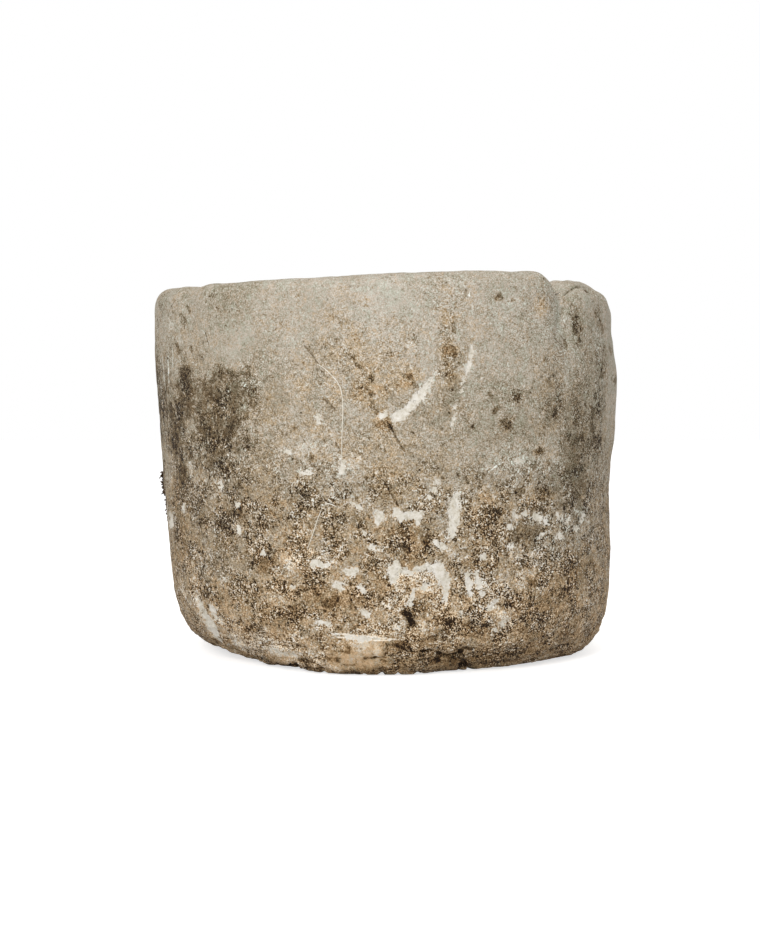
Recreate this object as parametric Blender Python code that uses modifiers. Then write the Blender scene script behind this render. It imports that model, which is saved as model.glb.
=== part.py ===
"""A hand-hewn limestone trough, with the dried moss and rootlets that cling to its wall.

The trough is one block of stone, nearly round in plan, with a basin cut down into it. It starts as a
turned blank, which is then hewn: squared in plan, leaned, dented, creased and given its worn rim and foot.

Metres, +Z up. The origin is on the ground under the middle of the block. The front is -Y, and bearings
are in degrees from +X: the right side is 0, the back 90, the left 180 and the front 270.
"""

import math
from collections import namedtuple

import bmesh
import bpy
from mathutils import Vector, noise
from mathutils.bvhtree import BVHTree

# The block
WIDTH = 0.480
DEPTH = 0.462
HEIGHT = 0.370
PLAN_SQUARENESS = 2.25  # 2 is an ellipse, and more is squarer
WALL_LEAN = 0.018  # how far the wall's foot stands in from its top, as a mean of both sides
FOOT_SHIFT = 0.006  # how far the foot stands to the right of the rim
FOOT_ROUNDING = 0.075  # how high up the wall the foot's rounding starts

# The rim and the basin
RIM_THICKNESS = 0.058
RIM_OUTER_ROUNDING = 0.014
RIM_INNER_ROUNDING = 0.020
RIM_WORN_DEPTH = 0.110  # how far below the rim its rise and fall still bends the walls
BASIN_LEAN = 0.022  # how far the basin wall comes in between the rim and its foot
BASIN_ROUNDING = 0.060
FLOOR_THICKNESS = 0.085

# The tool work left in the stone, as a depth and the span from one hollow to the next
HEWN_DEPTH = 0.0020
HEWN_SPAN = 0.075
PICKED_DEPTH = 0.0020
PICKED_SPAN = 0.045
FLAT_MARGIN = 0.012  # how high above the ground the tool work starts

# How finely the surface is cut into facets
COLUMNS = 112
WALL_FACET = 0.024
FLAT_FACET = 0.050
FOOT_STEPS = 6
BASIN_STEPS = 5
RIM_STEPS = 4
MERGE_DISTANCE = 0.00001
AXIS_RADIUS = 0.001  # points closer to the axis than this are on it

# The worn rim, by bearing: how far its crest stands above HEIGHT, and how far its outer edge falls
# below the crest. The fall starts at this share of the way out from the inner edge.
FALL_START = 0.3
Rim = namedtuple("Rim", "rise fall")
RIM = {
    0: Rim(0.010, 0.025),
    28: Rim(0.012, 0.015),
    60: Rim(0.005, 0.004),
    100: Rim(-0.002, 0.002),
    135: Rim(0.002, 0.004),
    165: Rim(-0.001, 0.003),
    195: Rim(0.000, 0.004),
    210: Rim(-0.002, 0.000),
    219: Rim(-0.006, 0.000),
    230: Rim(-0.004, 0.000),
    250: Rim(-0.002, 0.000),
    275: Rim(0.003, 0.000),
    298: Rim(0.006, 0.001),
    310: Rim(0.006, 0.001),
    315: Rim(-0.014, 0.000),
    322: Rim(-0.002, 0.006),
    333: Rim(0.007, 0.013),
    347: Rim(0.008, 0.021),
}

# How far in from the wall the ground is met, by bearing
FOOT_INSETS = {
    0: 0.032,
    30: 0.034,
    70: 0.048,
    110: 0.050,
    150: 0.060,
    180: 0.058,
    205: 0.072,
    225: 0.075,
    240: 0.056,
    250: 0.026,
    260: 0.018,
    275: 0.020,
    287: 0.042,
    305: 0.048,
    320: 0.050,
    342: 0.038,
}

# A swell, or a hollow where out is below 0: its middle, its half sizes and how far it stands out
Swell = namedtuple("Swell", "bearing height across tall out")
SWELLS = {
    "left_crease": Swell(219, 0.362, 0.014, 0.030, -0.006),
    "left_top": Swell(180, 0.360, 0.120, 0.050, -0.003),
    "left_foot": Swell(188, 0.070, 0.120, 0.040, -0.002),
    "overflow_groove": Swell(315, 0.355, 0.017, 0.050, -0.009),
    "right_top": Swell(355, 0.350, 0.120, 0.045, -0.007),
    "right_shoulder": Swell(355, 0.280, 0.120, 0.030, 0.003),
    "right_waist": Swell(355, 0.170, 0.120, 0.035, -0.003),
    "right_foot": Swell(352, 0.080, 0.120, 0.050, 0.002),
    "front_belly": Swell(262, 0.150, 0.130, 0.080, 0.003),
    "back_hollow": Swell(95, 0.210, 0.110, 0.070, -0.005),
    "back_shoulder": Swell(60, 0.310, 0.070, 0.045, 0.004),
    "back_spall": Swell(130, 0.014, 0.060, 0.016, -0.008),
}

# What clings to the stone
CLING_GAP = 0.0003
ROOTLET_DIAMETER = 0.0013
ROOTLET_STEP = 0.003

# Tufts of dried moss: their middle on the wall, and their half sizes across, up and outwards
Tuft = namedtuple("Tuft", "bearing height across tall out")
TUFTS = {
    "moss_tuft_upper": Tuft(186, 0.172, 0.007, 0.011, 0.0055),
    "moss_tuft_middle": Tuft(185, 0.151, 0.004, 0.004, 0.0030),
    "moss_tuft_lower": Tuft(186, 0.140, 0.006, 0.007, 0.0040),
}
TUFT_COLUMNS = 16
TUFT_ROWS = 10
TUFT_ROUGHNESS = 0.18
TUFT_LUMPS = 2.0  # lumps across a tuft
TUFT_VARIETY = 100.0  # keeps the lumps of one tuft unlike those of the next

# Dried rootlets stuck to the front, as (bearing, height) from their upper end
ROOTLETS = {
    "rootlet_long": ((254.0, 0.289), (257.4, 0.280), (259.6, 0.267), (260.1, 0.252), (259.9, 0.222),
                     (259.7, 0.198)),
    "rootlet_forked": ((254.7, 0.154), (253.5, 0.143), (252.8, 0.133), (251.6, 0.120)),
    "rootlet_short": ((255.8, 0.161), (257.2, 0.161), (258.4, 0.158)),
}

LIMESTONE = ("limestone", (0.42, 0.37, 0.29, 1.0), 0.92)
DRY_MOSS = ("dry_moss", (0.060, 0.048, 0.028, 1.0), 0.98)
DRY_ROOT = ("dry_root", (0.56, 0.50, 0.40, 1.0), 0.90)


def clear_scene():
    for obj in list(bpy.data.objects):
        bpy.data.objects.remove(obj)


def collection(name):
    made = bpy.data.collections.new(name)
    bpy.context.scene.collection.children.link(made)
    return made


def material(name, colour, roughness):
    made = bpy.data.materials.new(name)
    made.use_nodes = True
    shader = made.node_tree.nodes["Principled BSDF"]
    shader.inputs["Base Color"].default_value = colour
    shader.inputs["Roughness"].default_value = roughness
    shader.inputs["Metallic"].default_value = 0.0
    made.diffuse_color = colour
    return made


def smoothstep(low, high, value):
    share = min(1.0, max(0.0, (value - low) / (high - low)))
    return share * share * (3 - 2 * share)


def eased_between(stated, bearing):
    """The two stated bearings on either side of a bearing, and the eased share of the second."""
    ordered = sorted(stated)
    after = next((i for i, b in enumerate(ordered) if b > bearing % 360), 0)
    low, high = ordered[after - 1], ordered[after]
    share = ((bearing - low) % 360) / ((high - low) % 360)
    return low, high, smoothstep(0, 1, share)


def blend(start, end, share):
    return start + (end - start) * share


# The turned blank

def outer_radius(height):
    """The blank's outside radius at a height, before the foot is rounded."""
    return WIDTH / 2 - WALL_LEAN * (1 - height / HEIGHT)


def basin_radius(height):
    """The basin's radius at a height, before the floor is rounded."""
    down = (HEIGHT - height) / (HEIGHT - FLOOR_THICKNESS)
    return WIDTH / 2 - RIM_THICKNESS - BASIN_LEAN * down


def arc(centre, radius, start, end, steps):
    """Points round an arc of a section, with both ends, from one angle in degrees to another."""
    angles = [math.radians(blend(start, end, i / steps)) for i in range(steps + 1)]
    return [(centre[0] + radius * math.cos(a), centre[1] + radius * math.sin(a)) for a in angles]


def straight(start, end, longest):
    """Points between two points of a section, without its ends, no further apart than longest."""
    steps = max(1, math.ceil(math.dist(start, end) / longest))
    shares = [i / steps for i in range(1, steps)]
    return [(blend(start[0], end[0], s), blend(start[1], end[1], s)) for s in shares]


def section():
    """The half section, from the middle of the basin floor over the rim to the middle of the base."""
    floor_arc_height = FLOOR_THICKNESS + BASIN_ROUNDING
    floor_arc = (basin_radius(floor_arc_height) - BASIN_ROUNDING, floor_arc_height)
    inner_arc_height = HEIGHT - RIM_INNER_ROUNDING
    inner_arc = (basin_radius(inner_arc_height) + RIM_INNER_ROUNDING, inner_arc_height)
    outer_arc_height = HEIGHT - RIM_OUTER_ROUNDING
    outer_arc = (outer_radius(outer_arc_height) - RIM_OUTER_ROUNDING, outer_arc_height)
    foot_arc = (outer_radius(FOOT_ROUNDING) - FOOT_ROUNDING, FOOT_ROUNDING)

    basin_floor = [(0.0, FLOOR_THICKNESS)]
    basin_corner = arc(floor_arc, BASIN_ROUNDING, -90, 0, BASIN_STEPS)
    rim_inner = arc(inner_arc, RIM_INNER_ROUNDING, 180, 90, RIM_STEPS)
    rim_outer = arc(outer_arc, RIM_OUTER_ROUNDING, 90, 0, RIM_STEPS)
    foot = arc(foot_arc, FOOT_ROUNDING, 0, -90, FOOT_STEPS)
    base = [(0.0, 0.0)]

    points = basin_floor
    for stretch, facet in (
        (basin_corner, FLAT_FACET),
        (rim_inner, WALL_FACET),
        (rim_outer, WALL_FACET),
        (foot, WALL_FACET),
        (base, FLAT_FACET),
    ):
        points = points + straight(points[-1], stretch[0], facet) + stretch
    return points


def turned_blank():
    """The section turned about Z into one closed mesh."""
    points = section()
    profile = bpy.data.meshes.new("section")
    edges = [(i, i + 1) for i in range(len(points) - 1)]
    profile.from_pydata([(r, 0.0, z) for r, z in points], edges, [])
    blank = bpy.data.objects.new("blank", profile)
    bpy.context.scene.collection.objects.link(blank)
    screw = blank.modifiers.new("turn", "SCREW")
    screw.axis = "Z"
    screw.steps = screw.render_steps = COLUMNS
    screw.use_merge_vertices = True
    screw.merge_threshold = MERGE_DISTANCE
    turned = bpy.data.meshes.new_from_object(blank.evaluated_get(bpy.context.evaluated_depsgraph_get()))
    bpy.data.objects.remove(blank)
    return turned


# The hewing

def plan_share(bearing):
    """How much further out the hewn plan is than the blank, as a share of its radius."""
    a, b = WIDTH / 2, DEPTH / 2
    c, s = abs(math.cos(math.radians(bearing))), abs(math.sin(math.radians(bearing)))
    radius = ((c / a) ** PLAN_SQUARENESS + (s / b) ** PLAN_SQUARENESS) ** (-1 / PLAN_SQUARENESS)
    return radius / a


def footed(radius, height, bearing):
    """The radius once the foot's rounding is drawn in or let out to its inset at a bearing."""
    low, high, share = eased_between(FOOT_INSETS, bearing)
    inset = blend(FOOT_INSETS[low], FOOT_INSETS[high], share)
    wall = outer_radius(FOOT_ROUNDING)
    if height <= 0:
        return radius * (wall - inset) / (wall - FOOT_ROUNDING)
    if height < FOOT_ROUNDING and radius > wall - FOOT_ROUNDING:
        return wall - (wall - radius) * inset / FOOT_ROUNDING
    return radius


def rim_rise(bearing, outward):
    """How far the worn rim stands above HEIGHT, from 0 at its inner edge to 1 at its outer one."""
    low, high, share = eased_between(RIM, bearing)
    rise = blend(RIM[low].rise, RIM[high].rise, share)
    fall = blend(RIM[low].fall, RIM[high].fall, share)
    return rise - fall * smoothstep(FALL_START, 1.0, outward)


def swell_out(bearing, height):
    """How far the swells and hollows together push the outside out at a place."""
    total = 0.0
    for swell in SWELLS.values():
        turn = (bearing - swell.bearing + 180) % 360 - 180
        across = math.radians(turn) * WIDTH / 2
        away = (across / swell.across) ** 2 + ((height - swell.height) / swell.tall) ** 2
        total += swell.out * math.exp(-away)
    return total


def hewn(point):
    """Where a point of the blank lies on the hewn stone."""
    radius = math.hypot(point.x, point.y)
    if radius < AXIS_RADIUS:
        return point.copy()
    bearing = math.degrees(math.atan2(point.y, point.x))
    height = point.z
    across = (radius - basin_radius(height)) / (outer_radius(height) - basin_radius(height))
    outside = 1.0 if height < FLOOR_THICKNESS else smoothstep(0, 1, across)

    out = footed(radius, height, bearing) * plan_share(bearing)
    out += swell_out(bearing, height) * outside * smoothstep(0, FLAT_MARGIN, height)
    lump = noise.noise(point / HEWN_SPAN) * HEWN_DEPTH
    peck = noise.noise(point / PICKED_SPAN) * PICKED_DEPTH
    out += blend(peck, lump, outside) * smoothstep(0, FLAT_MARGIN, height)

    up = height + rim_rise(bearing, across) * smoothstep(HEIGHT - RIM_WORN_DEPTH, HEIGHT, height)
    shift = FOOT_SHIFT * (1 - height / HEIGHT) * outside
    turn = math.radians(bearing)
    return Vector((out * math.cos(turn) + shift, out * math.sin(turn), up))


def centred(points):
    """The points moved level, so that their box stands over the origin."""
    xs = [p.x for p in points]
    ys = [p.y for p in points]
    middle = Vector((min(xs) + max(xs), min(ys) + max(ys), 0.0)) / 2
    return [p - middle for p in points]


def make_body(stone, home):
    """The stone itself, with its basin, as one closed solid."""
    mesh = turned_blank()
    mesh.name = "trough_body"
    for vertex, place in zip(mesh.vertices, centred([hewn(v.co) for v in mesh.vertices])):
        vertex.co = place
    mesh.shade_smooth()
    mesh.materials.clear()
    mesh.materials.append(stone)
    body = bpy.data.objects.new("trough_body", mesh)
    home.objects.link(body)
    return body


# What clings to the stone

class Wall:
    """The stone's outside, as something to set pieces on."""

    def __init__(self, body):
        shape = bmesh.new()
        shape.from_mesh(body.data)
        self.tree = BVHTree.FromBMesh(shape)
        shape.free()

    def at(self, bearing, height):
        """(the place on the wall, its outward normal) at a bearing and a height."""
        turn = math.radians(bearing)
        outward = Vector((math.cos(turn), math.sin(turn), 0.0))
        start = outward * (WIDTH + DEPTH) + Vector((0.0, 0.0, height))
        place, normal, _, _ = self.tree.ray_cast(start, -outward)
        return place, normal


def make_wall_cutter(body, cutters):
    """The stone a little enlarged, to cut what clings to it clear of it."""
    mesh = body.data.copy()
    for vertex, source in zip(mesh.vertices, body.data.vertices):
        vertex.co = source.co + source.normal * CLING_GAP
    cutter = bpy.data.objects.new("wall_cutter", mesh)
    cutter.hide_render = True
    cutter.display_type = "WIRE"
    cutters.objects.link(cutter)
    return cutter


def make_tuft(name, tuft, wall, cutter, moss, home):
    """One tuft of moss: a low cushion seated on the wall, with its back cut to the stone."""
    place, normal = wall.at(tuft.bearing, tuft.height)
    shape = bmesh.new()
    bmesh.ops.create_uvsphere(shape, u_segments=TUFT_COLUMNS, v_segments=TUFT_ROWS, radius=1.0)
    variety = Vector((0.0, 0.0, tuft.height * TUFT_VARIETY))
    for vertex in shape.verts:
        rough = 1 + TUFT_ROUGHNESS * noise.noise(vertex.co * TUFT_LUMPS + variety)
        x, y, z = vertex.co * rough
        vertex.co = Vector((x * tuft.across, y * tuft.tall, z * tuft.out))
    mesh = bpy.data.meshes.new(name)
    shape.to_mesh(mesh)
    shape.free()
    mesh.materials.append(moss)
    mesh.shade_smooth()
    made = bpy.data.objects.new(name, mesh)
    made.location = place
    made.rotation_euler = normal.to_track_quat("Z", "Y").to_euler()
    cut = made.modifiers.new("seat", "BOOLEAN")
    cut.operation = "DIFFERENCE"
    cut.object = cutter
    home.objects.link(made)


def smooth_route(points, step):
    """Points about a step apart on a smooth curve through the given ones."""
    padded = [points[0] * 2 - points[1], *points, points[-1] * 2 - points[-2]]
    route = []
    for before, start, end, after in zip(padded, padded[1:], padded[2:], padded[3:]):
        steps = max(1, round((end - start).length / step))
        for i in range(steps):
            t = i / steps
            slope = (end - before) * t
            bend = (2 * before - 5 * start + 4 * end - after) * t ** 2
            twist = (3 * start - before - 3 * end + after) * t ** 3
            route.append((2 * start + slope + bend + twist) / 2)
    return [*route, points[-1]]


def make_rootlet(name, places, wall, root, home):
    """One thin rootlet that lies along the wall."""
    stand_off = ROOTLET_DIAMETER / 2 + CLING_GAP
    route = smooth_route([wall.at(*place)[0] for place in places], ROOTLET_STEP)
    curve = bpy.data.curves.new(name, "CURVE")
    curve.dimensions = "3D"
    curve.bevel_depth = ROOTLET_DIAMETER / 2
    curve.bevel_resolution = 1
    curve.use_fill_caps = True
    spline = curve.splines.new("POLY")
    spline.points.add(len(route) - 1)
    for point, guide in zip(spline.points, route):
        place, normal, _, _ = wall.tree.find_nearest(guide)
        point.co = (*(place + normal * stand_off), 1.0)
    curve.materials.append(root)
    home.objects.link(bpy.data.objects.new(name, curve))


def main():
    clear_scene()
    home = collection("limestone_trough")
    cutters = collection("cutters")
    body = make_body(material(*LIMESTONE), home)
    wall = Wall(body)
    cutter = make_wall_cutter(body, cutters)
    moss = material(*DRY_MOSS)
    for name, tuft in TUFTS.items():
        make_tuft(name, tuft, wall, cutter, moss, home)
    root = material(*DRY_ROOT)
    for name, places in ROOTLETS.items():
        make_rootlet(name, places, wall, root, home)


main()
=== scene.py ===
"""The looks of a hand-hewn limestone trough: its worn, pitted and lichened stone, dried moss and rootlets.

Metres, +Z up. The front is -Y. Bearings are in degrees from +X: the right side is 0, the back 90.
A place seen in the photograph is written as (x, y) in its own pixels, and is cast onto the stone from the
camera. What is drawn there has its real size.
"""

import math
import random
from collections import namedtuple

import bmesh
import bpy
import numpy as np
from mathutils import Matrix, Vector, noise
from mathutils.bvhtree import BVHTree


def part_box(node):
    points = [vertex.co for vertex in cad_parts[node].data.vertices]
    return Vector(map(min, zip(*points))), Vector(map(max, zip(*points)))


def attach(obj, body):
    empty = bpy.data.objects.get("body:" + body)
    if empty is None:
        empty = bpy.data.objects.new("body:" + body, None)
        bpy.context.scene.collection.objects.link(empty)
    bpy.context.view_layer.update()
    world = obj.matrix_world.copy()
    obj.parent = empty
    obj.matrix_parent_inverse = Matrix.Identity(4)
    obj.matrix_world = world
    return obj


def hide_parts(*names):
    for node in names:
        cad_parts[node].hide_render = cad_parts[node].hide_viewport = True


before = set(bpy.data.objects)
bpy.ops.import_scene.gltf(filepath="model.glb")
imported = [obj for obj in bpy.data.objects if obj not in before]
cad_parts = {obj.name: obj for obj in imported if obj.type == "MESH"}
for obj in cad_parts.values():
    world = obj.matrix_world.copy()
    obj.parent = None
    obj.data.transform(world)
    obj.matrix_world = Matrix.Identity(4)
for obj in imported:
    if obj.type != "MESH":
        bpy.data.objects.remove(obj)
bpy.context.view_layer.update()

MM = 0.001

# The camera, as the photograph was taken
PHOTO_WIDE = 760
PHOTO_TALL = 936
CAMERA_PLACE = Vector((-0.0062, -1.750, 0.246))
CAMERA_DOWN = math.radians(1.95)
FOCAL_PIXELS = 1675
SENSOR = 36.0
NEAREST_SEEN = 0.05

# The trough's section, for laying out the fine surface: the frame's own stone gives the exact shape
RIM_HEIGHT = 0.372
RIM_OUTSIDE = 0.240
RIM_CREST = 0.204  # where the outside's fine surface meets the basin's coarser one
RIM_OUTER_ROUNDING = 0.014
RIM_INNER_ROUNDING = 0.020
BASIN_TOP = 0.182
BASIN_FOOT = 0.160
BASIN_ROUNDING = 0.060
FLOOR_HEIGHT = 0.085
WALL_FOOT = 0.223
FOOT_ROUNDING = 0.075
REACH = 0.055  # how far off the section the rays that find the stone start

# How fine the surface is
OUTSIDE_COLUMNS = 470
BASIN_COLUMNS = 208
OUTSIDE_STEP = 2.65 * MM
BASIN_STEP = 6.5 * MM
BASE_STEP = 28 * MM
FRONT_CROWDING = 0.33  # how much closer the columns stand at the front than on average
EASING_ROUNDS = 5
EASING_FACTOR = 0.5

# Bearings in degrees over which the front that the photograph shows gives way to the unseen rest
FRONT_LEFT = (188, 205)
FRONT_RIGHT = (356, 340)

# Noise over the stone: how wide its lumps are, octaves, seed, and how flat the lumps are pressed
Lumps = namedtuple("Lumps", "span octaves seed flat", defaults=(1.0,))
BROAD_TONE = Lumps(0.090, 2, 1)
MIDDLING_TONE = Lumps(0.034, 3, 2)
TINT = Lumps(0.050, 2, 4)
BACK_LICHEN = Lumps(0.085, 3, 6)
BACK_TONE = Lumps(0.110, 2, 7)
BACK_WARMTH = Lumps(0.130, 2, 8)
SWELLS = Lumps(0.060, 2, 3)
DIMPLES = Lumps(0.022, 2, 4)
CRUMBS = Lumps(0.0085, 2, 5)
TOOLING = Lumps(0.030, 1, 6)
BEDDING = Lumps(0.024, 3, 7, flat=5.0)
PATCH_EDGES = Lumps(0.030, 3, 9)
GROOVE_EDGES = Lumps(0.0075, 2, 10)

# How high and deep the stone's own unevenness is
SWELL_HEIGHT = 0.8 * MM
TOOLING_DEPTH = 2.0 * MM
BEDDING_HEIGHT = 1.9 * MM
GROOVE_WOBBLE = 1.1 * MM
CHIP_DEPTH = 0.7 * MM

# Pits: how many, the lowest, highest and most usual of their heights and of their half widths in mm, and how
# deep they are for their half width
PIT_SEED = 11
PIT_COUNT = 420
PIT_HEIGHTS = (0.008, 0.37, 0.05)
PIT_HALVES = (1.2, 4.5, 1.8)
PIT_DEPTH = 0.42

# The teeth along the bottom edge
TOOTH_RING = 0.200  # radius of the ring on which the teeth's noise is read
TOOTH_STEP = 0.25  # in degrees
TOOTH_SPAN = 8 * MM
TOOTH_DEPTH = 2.6 * MM

Patch = namedtuple("Patch", "x y across tall turn tone contrast warmth out lichen",
                   defaults=(0, 0, 0, 0, 0, 0))

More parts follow.
